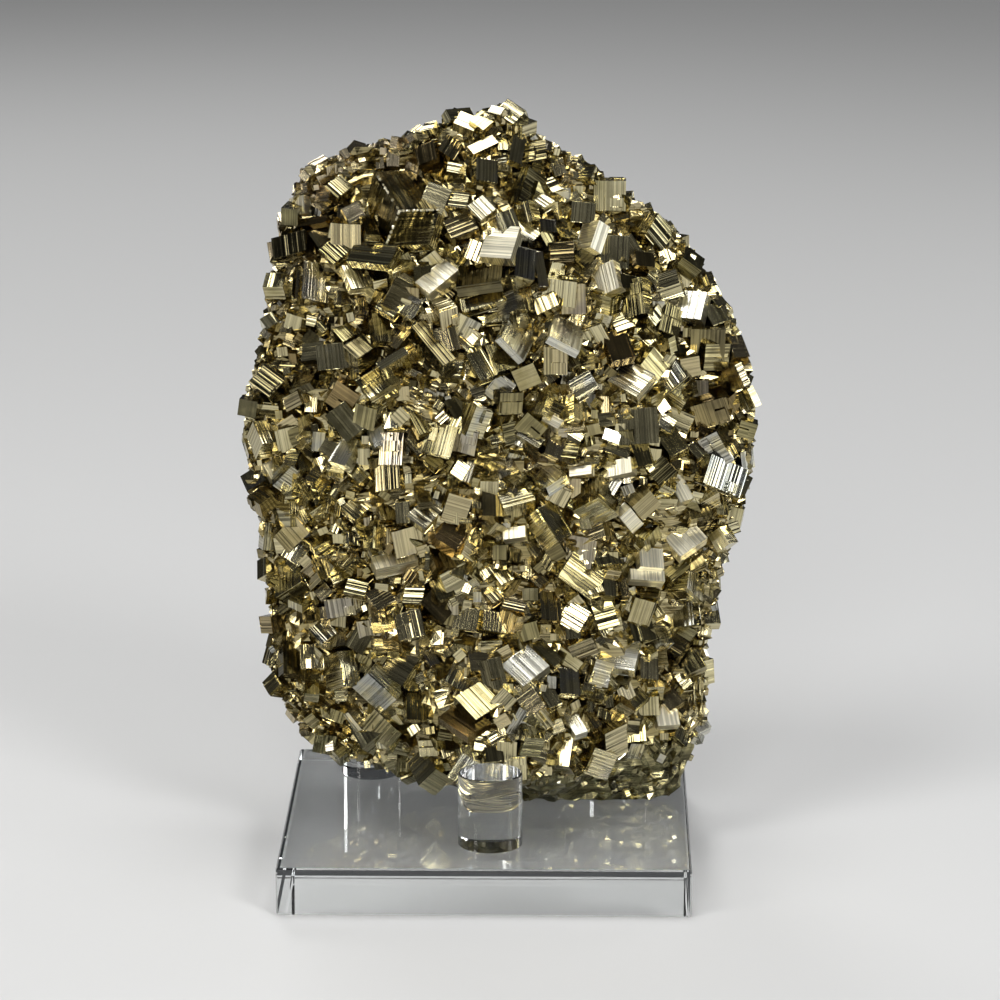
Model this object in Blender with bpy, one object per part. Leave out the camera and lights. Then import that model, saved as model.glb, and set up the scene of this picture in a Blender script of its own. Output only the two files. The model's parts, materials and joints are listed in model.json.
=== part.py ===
"""A pyrite specimen that leans on a clear acrylic stand: a square plate with three pegs.

Frame: origin at the centre of the plate's underside, +X right, +Y away from the viewer, +Z up.
Lengths in this file are millimetres until metres() turns them into Blender's units.
"""

import math
import random

import bmesh
import bpy
import numpy as np
from mathutils import Matrix, Vector

MM = 0.001

# --- Stand ----------------------------------------------------------------------------------------------
PLATE_SIDE = 101.6          # 4 inch square
PLATE_THICKNESS = 12.0
PLATE_CHAMFER = 0.4
PEG_DIAMETER = 15.875       # 5/8 inch rod
PEG_CHAMFER = 0.3
PEG_SIDES = 32
FRONT_PEG_HEIGHT = 18.6
BACK_PEG_HEIGHT = 38.0
PEG_SPREAD = 32.0           # back pegs left and right of the front peg
PEG_AXIS_X = 1.2            # the pegs' line of symmetry
PEG_ROW_Y = 30.6            # rows in front of and behind the plate's centre
CONTACT_GAP = 0.3           # clearance between pieces that touch

# --- Specimen frame: u across, v up the leaning face, w out of it ---------------------------------------
LEAN = math.radians(5.0)
FOOT_Y = -3.0
FOOT_Z = PLATE_THICKNESS + CONTACT_GAP
HEART = (3.0, 92.0)         # middle of the outline, where its polar form starts

# --- The crystals are charted on a plane square to one line of sight ------------------------------------
VIEW_DISTANCE = 1172.0
VIEW_PITCH = math.radians(13.62)
VIEW_YAW = math.radians(-1.01)
VIEW_CENTRE = Vector((3.1, 0.0, 92.4))

# --- Body of the specimen -------------------------------------------------------------------------------
FACE_CROWN = 14.0           # how far the middle of the front stands out of the face plane
FACE_DROP = 22.0            # how far the front falls back towards its rim
FOOT_BULGE = 24.0           # the low front bulges against the front peg
FOOT_BULGE_AT = (1.0, 12.5)
FOOT_BULGE_REACH = 23.0
BODY_SINK = 6.0             # matrix surface below the level of the crystals
BODY_SECTORS = 40
FOOT_PRESS = 3.2            # the lowest stretch is drawn down by up to this, and cut off flat on the plate
FOOT_FLAT = 8.0             # up to this v
FRONT_RINGS = (0.28, 0.52, 0.72, 0.9)
BACK_RINGS = ((0.97, -16.5), (0.86, -22.0), (0.64, -24.0), (0.34, -24.6))
RIM_LEVEL = -8.5
RIM_RING = 0.985            # share of the outline where the body turns back
BACK_LEVEL = -24.5
BODY_ROUGHNESS = 1.3
GOLDEN_ANGLE = math.pi * (3.0 - math.sqrt(5.0))

# --- Crystals in the chart ------------------------------------------------------------------------------
SLANT_FLOOR = 0.05          # least share of an edge that runs straight away from the viewer
SLANT_CAP = 1.25            # most of it
SEEN_FLOOR = 0.55           # an edge is taken as seen at least this much from the side
EDGE_RANGE = (2.2, 15.5)
TIP_CLEARANCE = 2.2         # the deepest seen tip stands this far out of the matrix
ROOT_SHARE = 0.32           # but at least this share of a crystal stays in it
LIFT_RANGE = (1.5, 14.0)
LEVEL_STEPS = 6             # rounds in which a crystal's distance is settled
CORE = 0.4                  # share of all three edges from the near corner to a crystal's core

# --- Crystals outside the chart -------------------------------------------------------------------------
FILL_SEED = 7
FILL_COUNT = 30
FILL_TRIES = 20000
FILL_SPACING = 6.2
FILL_SIZES = (5.0, 9.0)
FILL_SINK = 4.8
FILL_MARGIN = 1.5
BACK_COUNT = 30
BACK_SIZES = (13.0, 24.0)
BACK_THICKNESS = 7.0
BACK_TILT = 0.16
BACK_REACH = 0.86           # share of the outline that the lumps on the back fill
BACK_RISE = 2.6             # their middles lie this far in front of the back of the body
BACK_RIM_RISE = 5.0         # and this much further towards the rim
RIM_COUNT = 30
RIM_SIZES = (4.0, 7.5)
BARE_FROM = -20.0           # right of this u the foot of the matrix is bare
BARE_LEVEL = 8.5            # up to this v in the middle
BARE_RISE = 0.16            # and higher towards the right

# Outline of the specimen seen square to its face, (u, v), clockwise from the top.
OUTLINE = [
    (0.2, 180), (6.5, 177), (13, 170), (21.5, 165.5), (30, 160), (38, 154), (44, 150.5), (50.5, 144),
    (54, 138), (57, 132), (60.5, 126.5), (63.5, 121.5), (64.5, 116.5), (66, 108), (67.5, 96.5), (66.5, 86),
    (65.5, 81), (63.5, 71), (59.5, 63), (58.5, 53), (56.5, 46.5), (55, 42.5), (55.5, 32), (56.5, 22),
    (54, 15), (51, 10), (51, 3.5), (41.5, 0.5), (28.5, 0), (18, 0), (10.5, 1.5), (0.5, 2), (-10, 4),
    (-17.5, 5), (-22.5, 6.5), (-27.5, 8.5), (-35.5, 9.5), (-43, 13), (-48, 16.5), (-52, 22.5), (-55.5, 28),
    (-57.5, 42), (-55.5, 52), (-57.5, 62.5), (-59, 73), (-60.5, 80.5), (-61, 88), (-62.5, 96), (-63, 103.5),
    (-60.5, 111), (-57, 116), (-57, 124), (-55.5, 131.5), (-56, 141.5), (-52.5, 148), (-51, 154),
    (-47.5, 161.5), (-40, 164), (-35, 167.5), (-27.5, 168), (-22.5, 170), (-15, 171.5), (-10, 174.5),
    (-5, 178),
]

# Crystals, each by its near corner and the far ends of the three edges that leave it, in chart millimetres:
# corner a, b, then three ends a, b. All three edges run away from the viewer.
CRYSTALS = [
    # upper left
    (-25.2, 72.4, -31.8, 83.3, -15.6, 73, -28.6, 64.4), (-37.8, 75, -33.8, 84.4, -34.5, 73.2, -41.5, 73.8),
    (-40.6, 75.6, -43.9, 78.8, -36.9, 78.8, -40.2, 74), (-48.9, 71.8, -49.2, 76.5, -52.7, 71, -47.4, 71.4),
    (-44.8, 72.2, -47.6, 74.2, -41, 73.8, -45, 71), (-40.9, 70.8, -40.5, 73.5, -38.3, 70.1, -41.8, 70),
    (-43.6, 69.6, -51, 68.6, -43.4, 71, -42.6, 68.6), (-41.6, 59, -45.4, 62.8, -37.8, 62.6, -41, 57.6),
    (-48.4, 62.6, -49.2, 67.8, -57, 60.9, -46, 61.6), (-33.4, 66.6, -35.4, 71.6, -29.8, 66.4, -33.8, 65.2),
    (-17.6, 64, -28.2, 63.8, -15.4, 71.8, -16.2, 62.6),
    (-27.8, 58.8, -38.6, 60.2, -25.6, 63.8, -26.8, 57.2),
    # top
    (-12.2, 95.1, -6.2, 96, -13.6, 97.9, -13.4, 93.6), (-6.6, 92.4, -11.6, 94.5, -4.8, 95.6, -7, 90.6),
    (-4.2, 92.6, -1.2, 95.4, -7.6, 95.2, -4.4, 90.6), (-15.6, 87.8, -11.7, 94.1, -11.5, 85.1, -17, 86.4),
    (-15.8, 85.6, -16.8, 90.2, -20.6, 84, -13.2, 83.4), (-13.3, 82.4, -8.8, 81.6, -13.1, 84.8, -14.2, 80.4),
    (-6.6, 86.6, -0.4, 89.8, -8.2, 88.6, -6.8, 84.6), (2.2, 85.2, 3.6, 91.8, 5.4, 84.2, 1.2, 84.2),
    (-6, 80.2, -5.6, 85.9, -0.6, 79.8, -7.4, 79), (-4.9, 70, -8.1, 73.8, -1, 73.2, -4.6, 68.4),
    (2.6, 60.4, -5.2, 61.2, 4.9, 68.6, 3.6, 58.6), (0.2, 54.9, 0.8, 60.4, -10.9, 53.4, 0.8, 52.4),
    (3.6, 56.2, 4.4, 63.8, 8.6, 55.2, 2.2, 54.6), (9.8, 53.4, 8.6, 62.4, 12.2, 53.6, 9, 51.8),
    (11, 73.2, 7.4, 75.8, 13.8, 75, 11, 71.6), (10.2, 67.4, 10, 70.6, 14.3, 67.2, 9, 66),
    (10, 66.8, 11.9, 63.6, 12.2, 68.4, 8.2, 66.6), (8.2, 70, 6.9, 75.2, 3.6, 68.2, 10.4, 69.9),
    (-12, 65.2, -5.4, 68, -14.2, 70, -11.6, 63.4), (-8.6, 73, -13.2, 73.8, -7.6, 77, -8, 71.6),
    # upper right
    (22.6, 63.3, 24.9, 70.2, 25.3, 61.7, 18.6, 62.6), (34.2, 58.8, 34, 62.4, 38.9, 58.5, 33, 57.6),
    (33, 71.2, 32.1, 73.6, 35.6, 71.3, 32.4, 69.8), (32.4, 70.8, 31.8, 73.4, 28.2, 69.8, 33, 69.6),
    (29.9, 53.2, 28.2, 60.2, 22.6, 50.2, 31.6, 52.4), (30.4, 53.2, 30.2, 56.8, 34.9, 52.6, 29.2, 52.2),
    (36.4, 46.8, 35.2, 55.9, 31, 45.9, 38.8, 46.2), (50.2, 45.2, 51.6, 52.2, 41.2, 46.6, 51.6, 43.4),
    (53.4, 43.6, 51.2, 48.4, 57.6, 45.4, 53, 41.6), (56.4, 46.9, 55.2, 48.4, 58, 48, 56.8, 45.8),
    (54.4, 48.8, 53, 49.8, 55.6, 50, 54.6, 47.6), (53.6, 51, 52.5, 53.4, 55, 51.3, 53.4, 49.6),
    (51.6, 39, 58, 39.2, 51, 32.4, 50.4, 39.4), (58.8, 33.7, 61.5, 28.2, 51, 31, 60.5, 34.5),
    (61, 34, 59.2, 35.4, 62.2, 35.4, 61, 32.6), (42.1, 40.3, 42.9, 36.2, 38.3, 41.6, 43.8, 41.2),
    (43.8, 36.8, 43.4, 39.2, 46.9, 36.5, 43, 36), (28.2, 34.6, 26, 41.8, 34, 36.2, 27.4, 32.8),
    (34.2, 25.9, 27.2, 30.2, 38.8, 31.6, 34.8, 24), (47, 31.2, 43.7, 36, 40, 25.7, 48.8, 30.2),
    (12.4, 41.1, 14.6, 50.2, 19.8, 37.2, 11.4, 39.4),
    # middle, upper half
    (0.2, 40.8, 3.1, 46.8, 6, 35, -1.2, 40), (-0.6, 32, -3.4, 38.8, 4.4, 33.6, -1, 30.4),
    (-4.8, 29.8, -8.6, 37.4, -0.8, 31.6, -5.2, 28.2), (-14.2, 33.7, -22, 43.7, -11.2, 35.5, -14.8, 31.2),
    (-10, 30.6, -14.9, 31.1, -8.9, 36.8, -9.4, 29), (-15.2, 46.8, -18, 50.6, -14.6, 42, -10.8, 48.4),
    (-17.6, 51.7, -21.2, 54.7, -10.6, 57.8, -17.2, 49.8),
    (-12.9, 50, -14.9, 51.9, -11.2, 51.6, -12.8, 48.8),
    (1, 50, 0.2, 53.4, -9.4, 47.4, 2, 48.6), (2.2, 44.9, 2.6, 47.8, -3.9, 44.4, 3.2, 43.8),
    # left, upper half
    (-49.8, 50.6, -48.9, 60, -41, 49.3, -52.6, 49.2), (-40.8, 49.2, -40.6, 52.6, -37, 48.9, -41.8, 48.2),
    (-37.2, 52.9, -39.8, 58.8, -32, 53.6, -37.8, 51.4),
    (-31.8, 54.6, -33.2, 57.4, -28.4, 55.4, -31.6, 53.2),
    (-35.5, 46.6, -35.6, 51.6, -33, 46.2, -36.4, 45.8), (-31.4, 40, -32.2, 47.6, -27, 39.6, -32.4, 38.8),
    (-26.8, 45.6, -31.4, 48.4, -24.2, 49, -26.4, 44.4), (-35.8, 35.4, -39.4, 38.6, -31, 38.6, -35.2, 30.2),
    (-29.8, 32.6, -23, 36.9, -31, 34.3, -28.4, 27.4), (-57.8, 25.8, -63, 30, -53.8, 30.6, -56.2, 22.4),
    (-59.9, 33, -60.5, 35.4, -54.2, 32.9, -60.2, 31.8),
    (-44.5, 35.4, -49.9, 34.9, -44.3, 39.8, -43.8, 34.6),
    (-47.6, 29.4, -53, 27.4, -45.2, 34.4, -46.6, 28), (-49.6, 24, -53.6, 22.1, -50.8, 27.4, -45.8, 25),
    (-49.3, 17.4, -50, 23.8, -47.2, 17.2, -50.4, 16.2), (-43.8, 21.8, -42.4, 27.4, -42, 20.6, -45, 21),
    (-42.8, 28, -41.2, 33.6, -40.8, 27.4, -43.8, 27), (-39.2, 39.6, -41.8, 42.4, -35.8, 41.8, -39.2, 38.4),
    (-44.6, 41.8, -46.4, 44, -42.9, 43, -44.8, 40.6), (-37.4, 30.2, -37.8, 34.6, -33.2, 30, -38.2, 28.4),
    # left, middle
    (-62.9, 11.4, -64.6, 16.8, -58.8, 12.4, -63.2, 9.6), (-51.4, 8.5, -54.6, 9, -50, 12.6, -50.6, 7.4),
    (-50.2, 7.2, -50.8, 11.3, -46.4, 7.6, -50.6, 6), (-57.3, 5.3, -59.4, 9.2, -55, 6.3, -57.6, 4),
    (-53.8, 1, -56.2, 3.4, -50.4, 1.2, -54, -0.4), (-46.6, 4.2, -49, 5.4, -43.6, 8, -46, 2.8),
    (-39.2, 6.6, -43.6, 7.4, -38.8, 8, -39, 5.2), (-38.9, 8.6, -35, 15.4, -43.2, 9.8, -37.4, 6.8),
    (-31.4, 13.2, -33.6, 19.8, -28, 14.2, -31.8, 11.8), (-25, 3, -25.6, 9.6, -31.2, 2.2, -23.6, 2.6),
    (-35.4, 4, -38.6, 7.2, -32.6, 6.4, -34.8, 2.4), (-36.2, -5, -39.8, -1.8, -32.2, -1.6, -36, -6.6),
    (-39.4, -7.6, -40.9, -4.8, -36.4, -6.4, -39.6, -9), (-30, -5, -31, -0.8, -25.4, -4.6, -30.6, -6.4),
    (-31.9, -12, -31.6, -5, -29, -12.6, -34.4, -12.6), (-38.6, -11, -38.4, -7.2, -34.2, -11.4, -39.6, -12),
    (-40.3, -13.4, -40.6, -11.4, -38.4, -13.4, -41.2, -14.4),
    (-48.9, -5.9, -50.4, -2.6, -45, -4.6, -49, -7.4),
    (-46.6, -12, -50.2, -9.6, -41.8, -9.6, -46.2, -13.8), (-31, -17.4, -32.4, -14.4, -20.6, -15, -31, -20),
    (-34, -24.2, -39.2, -22.8, -33, -20.6, -33.6, -25.6),
    # middle
    (-20.6, 11, -25, 16.6, -16.8, 13.9, -20.8, 9.8), (-20.1, 16.4, -22.9, 21.8, -17, 17.4, -20.6, 15),
    (-16.2, 7.7, -19.1, 10.2, -14.2, 9.8, -16.2, 6.2), (-7.8, 4.4, -6, 10.8, -9.6, 4.8, -7.2, 3.2),
    (-4.4, -3.8, -4.2, 2.8, 2.8, -4.2, -5.4, -5), (-6.8, -2, -7.4, 2.6, -4.8, -2.1, -7.4, -3.2),
    (-20, -0.6, -21.9, 4, -16.8, -0.4, -20.2, -2), (-18.9, -7.4, -23.3, -3.8, -14.2, -1.8, -18.8, -9),
    (-11, -12.6, -16.5, -9.2, -7.4, -7.2, -11.9, -14.6), (-7.2, -5.9, -10.2, -5.9, -7, -3.6, -6.8, -7.2),
    (6.4, -9.2, 6.2, -6.4, 0.8, -9.8, 7, -10.4), (2.2, -15.1, 2.4, -11.8, 5.2, -15.5, 1.4, -16.2),
    (0.8, -16.6, -0.4, -13.4, 2, -16.2, 0.4, -17.8), (0.4, -21.2, -2.2, -17.6, 3.6, -19.6, 0.2, -22.8),
    (8.8, -14.6, 6.2, -10.8, 10.2, -13.8, 9, -16), (14.4, -10.4, 9.3, -2.2, 18.6, -8.4, 11.2, -13.2),
    (11.6, 3, 6, 7.6, 16.6, 6.4, 12.4, 0.8), (9.6, 13, 4.2, 16.6, 11.4, 15.2, 9.4, 11.4),
    (8.6, 10, 6.2, 13, 10.4, 11.2, 8.4, 8.8), (14.4, 17.8, 10.6, 20.2, 15.8, 20, 14.6, 16.2),
    (14.8, 21.2, 11.8, 23, 16.4, 23.8, 14.8, 20), (21.2, 17.6, 15.9, 17.2, 21, 22, 22.2, 16.8),
    (19, 10.4, 14.6, 11, 20.2, 14.6, 19.6, 9), (24.8, 9, 21, 9.1, 25, 11.2, 25.2, 7.8),
    (22.9, 6.6, 17.4, 6.1, 22.8, 8.8, 23.8, 5.8),
    # right, middle
    (33, 7, 32.6, 10.8, 25.2, 5.6, 34.4, 6.2), (34.6, 8.3, 32.4, 15.8, 38.8, 9.2, 33.2, 7.4),
    (42.8, 10.8, 39, 16.9, 47.4, 13.4, 42.6, 9), (49.6, 10.2, 46.8, 13.4, 52.6, 12.6, 49.4, 8.8),
    (45.2, -0.6, 41.7, 7, 48.6, 0.6, 44.4, -1.8), (30, -4.4, 32.7, -2, 33.5, -8.4, 28.6, -3),
    (33.1, -1.8, 37.6, 2.3, 36, -5.2, 31.2, 0.2), (45.2, -14.2, 38.6, -6, 51.8, -9, 45, -16.2),
    (50.9, 4.4, 53.4, 11.4, 60.4, 0.9, 48.4, 4.6), (54.4, -3.6, 53.8, 2.5, 57.2, -3.8, 53.6, -4.8),
    (53.8, -7.9, 50.6, -7.6, 55, -3.8, 54.4, -9.2), (46.6, -18.3, 45, -15.6, 51.8, -15.6, 46.6, -19.8),
    (35.2, -16.6, 35, -11.8, 41.2, -17, 34.2, -18), (32.8, -19.8, 32.7, -17.2, 41.4, -20.2, 32, -21.4),
    # left, lower half
    (-54.2, -43.2, -54.6, -28, -47.2, -44.2, -55.6, -44.4),
    (-49.6, -26.4, -53.2, -25, -46, -24.4, -49.6, -28),
    (-48.6, -30.2, -49, -27.4, -46.4, -30, -49.4, -31.2),
    (-44.6, -36, -48, -32.2, -40.8, -33, -44.4, -37.6),
    (-39.2, -46.7, -40.4, -37.9, -34.9, -46.3, -43.6, -48.4),
    (-48.8, -48.4, -49.2, -44.2, -45.2, -48.8, -49.2, -50.4),
    (-33.2, -43.4, -25.9, -50, -31, -40.8, -37.2, -47.2),
    (-38, -53.2, -36, -51.2, -34.6, -57.6, -39.2, -53.8),
    (-24.4, -46.6, -30.2, -43.4, -18.2, -36.1, -22.8, -47.8),
    (-17.4, -41.8, -19.4, -38.2, -15, -40.6, -17.8, -43),
    # middle, lower half
    (-4.4, -32.4, -3.8, -27.6, 2.8, -33.4, -5.6, -33.4), (-6, -32.8, -5, -27.4, -12, -32, -4.6, -33.6),
    (5.8, -28.2, 0.4, -26.8, 7, -24.2, 6.2, -29.6), (-1.8, -26, -5, -22.4, 0.8, -24.1, -1.8, -27.6),
    (-15.2, -25.4, -18.6, -18.8, -11, -23.6, -15.6, -27),
    (-19.6, -26, -24.6, -25.8, -18.6, -19.8, -19, -27.4),
    (9.9, -22.2, 7.2, -19.6, 12.2, -20, 9.8, -23.6), (10.4, -29.8, 10, -22.6, 15.6, -30.2, 9.4, -31),
    (5.7, -46.7, 0.4, -41.4, 12.2, -41.4, 5.9, -48.6), (13.6, -41.8, 8.4, -36.2, 15.8, -39.8, 13.4, -43.2),
    (12.4, -52.2, 9.8, -47.6, 15.6, -50.6, 12.2, -53.8), (18.9, -58.9, 14.2, -50.8, 22, -57.9, 18.6, -60.4),
    (23.8, -57.2, 19.8, -50.8, 25.4, -56.4, 23.4, -58.6), (-6, -55, -11.3, -49.4, 0.4, -51, -6.4, -57),
    (-13.8, -45.4, -11.2, -40, -7.6, -48.8, -14.8, -46.4),
    (-23.4, -54.8, -23.2, -47.6, -14.8, -55.2, -24.4, -56.2),
    (-8, -59.4, -15.6, -54.6, -2.4, -55.8, -8, -61), (-3.2, -65.6, -3.8, -62, 1.2, -65.2, -3.8, -66.8),
    (15.2, -48.4, 15, -42, 20.2, -48.8, 14.2, -49.6),
    # right, lower half
    (23, -34.4, 17, -36.9, 24.8, -38.3, 22.5, -32.2), (33.6, -42.8, 24.8, -41.4, 35.6, -34.4, 33.8, -44.4),
    (35.2, -44.6, 35.4, -39.2, 39.8, -45, 34.2, -45.8), (37.6, -38.9, 35.8, -37.2, 39.6, -37.8, 37.6, -40),
    (44.6, -39.4, 40.2, -36.4, 47.4, -35.4, 44.8, -41.2),
    (46.8, -43.8, 44, -38.8, 51.8, -41.4, 46.8, -45.4),
    (47.6, -35.4, 43.4, -32.8, 49.6, -33, 47.6, -36.8),
    (48.6, -31.2, 47.4, -21.6, 40.8, -32.4, 50.7, -31.5),
    (51.4, -31, 50.2, -20.6, 55.4, -30.8, 51, -32.6), (39.2, -29.6, 37.4, -26.8, 41.4, -28.4, 39.2, -31),
    (39.4, -24.8, 34.8, -24.2, 40, -22.2, 39.8, -26), (42.6, -52.8, 39, -48.2, 46.2, -50.4, 42.4, -54.2),
    (39.6, -56.6, 38.9, -51.4, 45.2, -56, 39, -58), (49.6, -58.4, 45.4, -51.4, 53, -56.6, 49.2, -60.4),
    (49.8, -50.6, 48.6, -46.8, 51.6, -50.4, 49.2, -51.8), (20, -48.6, 20.4, -46.2, 26, -50, 19.4, -49.8),
    (24.2, -54.2, 24.8, -51.8, 27.8, -55.2, 23.4, -55), (34, -52.2, 30.8, -48.8, 37.4, -49.2, 33.8, -53.6),
    (31.6, -46.4, 28.4, -45.8, 32.6, -43.6, 32, -47.6), (22.4, -23.8, 20.6, -20, 26.2, -22.6, 22.2, -25.2),
    (26.2, -23.8, 26, -18.2, 29.2, -24.2, 25.2, -25), (30.6, -24.2, 29, -17.6, 32, -24, 30.2, -25.6),
]


def unit(angle):
    """Unit vector in the (u, v) plane."""
    return Vector((math.cos(angle), math.sin(angle)))


# --- Frames ---------------------------------------------------------------------------------------------
FACE_UP = Vector((0.0, math.sin(LEAN), math.cos(LEAN)))
FACE_OUT = Vector((0.0, -math.cos(LEAN), math.sin(LEAN)))
FACE_ORIGIN = Vector((0.0, FOOT_Y, FOOT_Z))
SIGHT_BACK = -Vector((math.sin(VIEW_YAW) * math.cos(VIEW_PITCH),
                      math.cos(VIEW_YAW) * math.cos(VIEW_PITCH), -math.sin(VIEW_PITCH)))
SIGHT_RIGHT = Vector((math.cos(VIEW_YAW), -math.sin(VIEW_YAW), 0.0))
SIGHT_UP = SIGHT_BACK.cross(SIGHT_RIGHT)


def from_face(u, v, w):
    """World point of a place in the specimen's own frame."""
    return FACE_ORIGIN + Vector((u, 0.0, 0.0)) + FACE_UP * v + FACE_OUT * w


def to_face(point):
    """The specimen's own (u, v, w) of a world point."""
    offset = point - FACE_ORIGIN
    return offset.x, offset.dot(FACE_UP), offset.dot(FACE_OUT)


def from_chart(a, b, height):
    """World point seen at (a, b) of the chart, that far in front of the chart's plane."""
    across = SIGHT_RIGHT * a + SIGHT_UP * b
    return VIEW_CENTRE + across * (1.0 - height / VIEW_DISTANCE) + SIGHT_BACK * height


# --- Form of the specimen -------------------------------------------------------------------------------
def rim_radius(angle):
    """Distance from the heart to the outline in one direction."""
    ray = unit(angle)
    heart = Vector(HEART)
    reach = 0.0
    for here, there in zip(OUTLINE, OUTLINE[1:] + OUTLINE[:1]):
        start = Vector(here) - heart
        edge = Vector(there) - Vector(here)
        cross = ray.x * edge.y - ray.y * edge.x
        if abs(cross) < 1e-9:
            continue
        along_ray = (start.x * edge.y - start.y * edge.x) / cross
        along_edge = (start.x * ray.y - start.y * ray.x) / cross
        if along_ray > 0.0 and -1e-6 <= along_edge <= 1.0 + 1e-6:
            reach = max(reach, along_ray)
    return reach


def radial_share(u, v):
    """0 at the heart, 1 on the outline."""
    offset = Vector((u - HEART[0], v - HEART[1]))
    if offset.length < 1e-6:
        return 0.0
    return offset.length / rim_radius(math.atan2(offset.y, offset.x))


def front_level(u, v):
    """How far the tips of the crystals stand out of the face plane."""
    share = min(radial_share(u, v), 1.04)
    level = FACE_CROWN - FACE_DROP * share ** 3
    foot = math.hypot(u - FOOT_BULGE_AT[0], v - FOOT_BULGE_AT[1]) / FOOT_BULGE_REACH
    return level + FOOT_BULGE * math.exp(-foot * foot)


def body_mesh(rng):
    """The massive part: rings around the heart, front to back."""
    bm = bmesh.new()
    angles = [2.0 * math.pi * k / BODY_SECTORS for k in range(BODY_SECTORS)]
    radii = [rim_radius(angle) for angle in angles]
    rings = []
    for share in FRONT_RINGS:
        rings.append([(share, None) for _ in angles])
    rings.append([(RIM_RING, RIM_LEVEL) for _ in angles])
    for share, level in BACK_RINGS:
        rings.append([(share, level) for _ in angles])
    rows = []
    for ring in rings:
        row = []
        for angle, radius, (share, level) in zip(angles, radii, ring):
            u = HEART[0] + math.cos(angle) * radius * share
            v = HEART[1] + math.sin(angle) * radius * share
            w = front_level(u, v) - BODY_SINK if level is None else level
            w += rng.uniform(-BODY_ROUGHNESS, BODY_ROUGHNESS)
            v -= FOOT_PRESS * max(1.0 - v / FOOT_FLAT, 0.0)
            row.append(bm.verts.new(from_face(u, v, w)))
        rows.append(row)
    front = bm.verts.new(from_face(*HEART, front_level(*HEART) - BODY_SINK))
    back = bm.verts.new(from_face(*HEART, BACK_LEVEL))
    for k in range(BODY_SECTORS):
        after = (k + 1) % BODY_SECTORS
        bm.faces.new((front, rows[0][k], rows[0][after]))
        bm.faces.new((back, rows[-1][after], rows[-1][k]))
        for inner, outer in zip(rows, rows[1:]):
            bm.faces.new((inner[k], outer[k], outer[after], inner[after]))
    bmesh.ops.triangulate(bm, faces=bm.faces[:])
    bmesh.ops.recalc_face_normals(bm, faces=bm.faces[:])
    return bm


# --- Crystals -------------------------------------------------------------------------------------------
def block_edges(ends):
    """Three square edges, in sight axes, from their ends as they are seen."""
    lengths = [math.hypot(*end) for end in ends]
    ways = [(end[0] / length, end[1] / length) for end, length in zip(ends, lengths)]
    facing = []
    for k in range(3):
        one, two = ways[(k + 1) % 3], ways[(k + 2) % 3]
        facing.append(max(-(one[0] * two[0] + one[1] * two[1]), SLANT_FLOOR))
    frame = np.zeros((3, 3))
    for k in range(3):
        slant = math.sqrt(facing[(k + 1) % 3] * facing[(k + 2) % 3] / facing[k])
        frame[k] = (ways[k][0], ways[k][1], -min(slant, SLANT_CAP))
        frame[k] /= np.linalg.norm(frame[k])
    left, _, right = np.linalg.svd(frame)
    square = left @ right
    edges = []
    for k in range(3):
        seen = max(math.hypot(square[k][0], square[k][1]), SEEN_FLOOR)
        size = min(max(lengths[k] / seen, EDGE_RANGE[0]), EDGE_RANGE[1])
        edges.append([size * value for value in square[k]])
    return edges


def charted_crystals():
    """Near corner and three edges of each charted crystal, in the world."""
    crystals = []
    for row in CRYSTALS:
        a, b = row[0], row[1]
        seen = block_edges([(row[k] - a, row[k + 1] - b) for k in (2, 4, 6)])
        depth = max(-edge[2] for edge in seen)
        reach = -sum(edge[2] for edge in seen)
        lift = min(depth + TIP_CLEARANCE, (1.0 - ROOT_SHARE) * reach)
        lift = min(max(lift, LIFT_RANGE[0]), LIFT_RANGE[1])
        height = 0.0
        for _ in range(LEVEL_STEPS):
            u, v, w = to_face(from_chart(a, b, height))
            height += (front_level(u, v) - BODY_SINK + lift - w) / SIGHT_BACK.dot(FACE_OUT)
        corner = from_chart(a, b, height)
        edges = [SIGHT_RIGHT * e[0] + SIGHT_UP * e[1] + SIGHT_BACK * e[2] for e in seen]
        crystals.append((corner, edges))
    return crystals


def random_frame(rng):
    """Three square unit vectors."""
    axis = Vector((rng.gauss(0, 1), rng.gauss(0, 1), rng.gauss(0, 1))).normalized()
    return Matrix.Rotation(rng.uniform(0.0, 2.0 * math.pi), 3, axis)


def block_at(centre, sizes, frame):
    """Corner and edges of a block around its centre."""
    edges = [frame.col[k] * sizes[k] for k in range(3)]
    return centre - (edges[0] + edges[1] + edges[2]) * 0.5, edges


def on_bare_foot(u, v):
    """Whether a place is on the stretch of bare matrix at the foot."""
    return u > BARE_FROM and v < BARE_LEVEL + BARE_RISE * u


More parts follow.
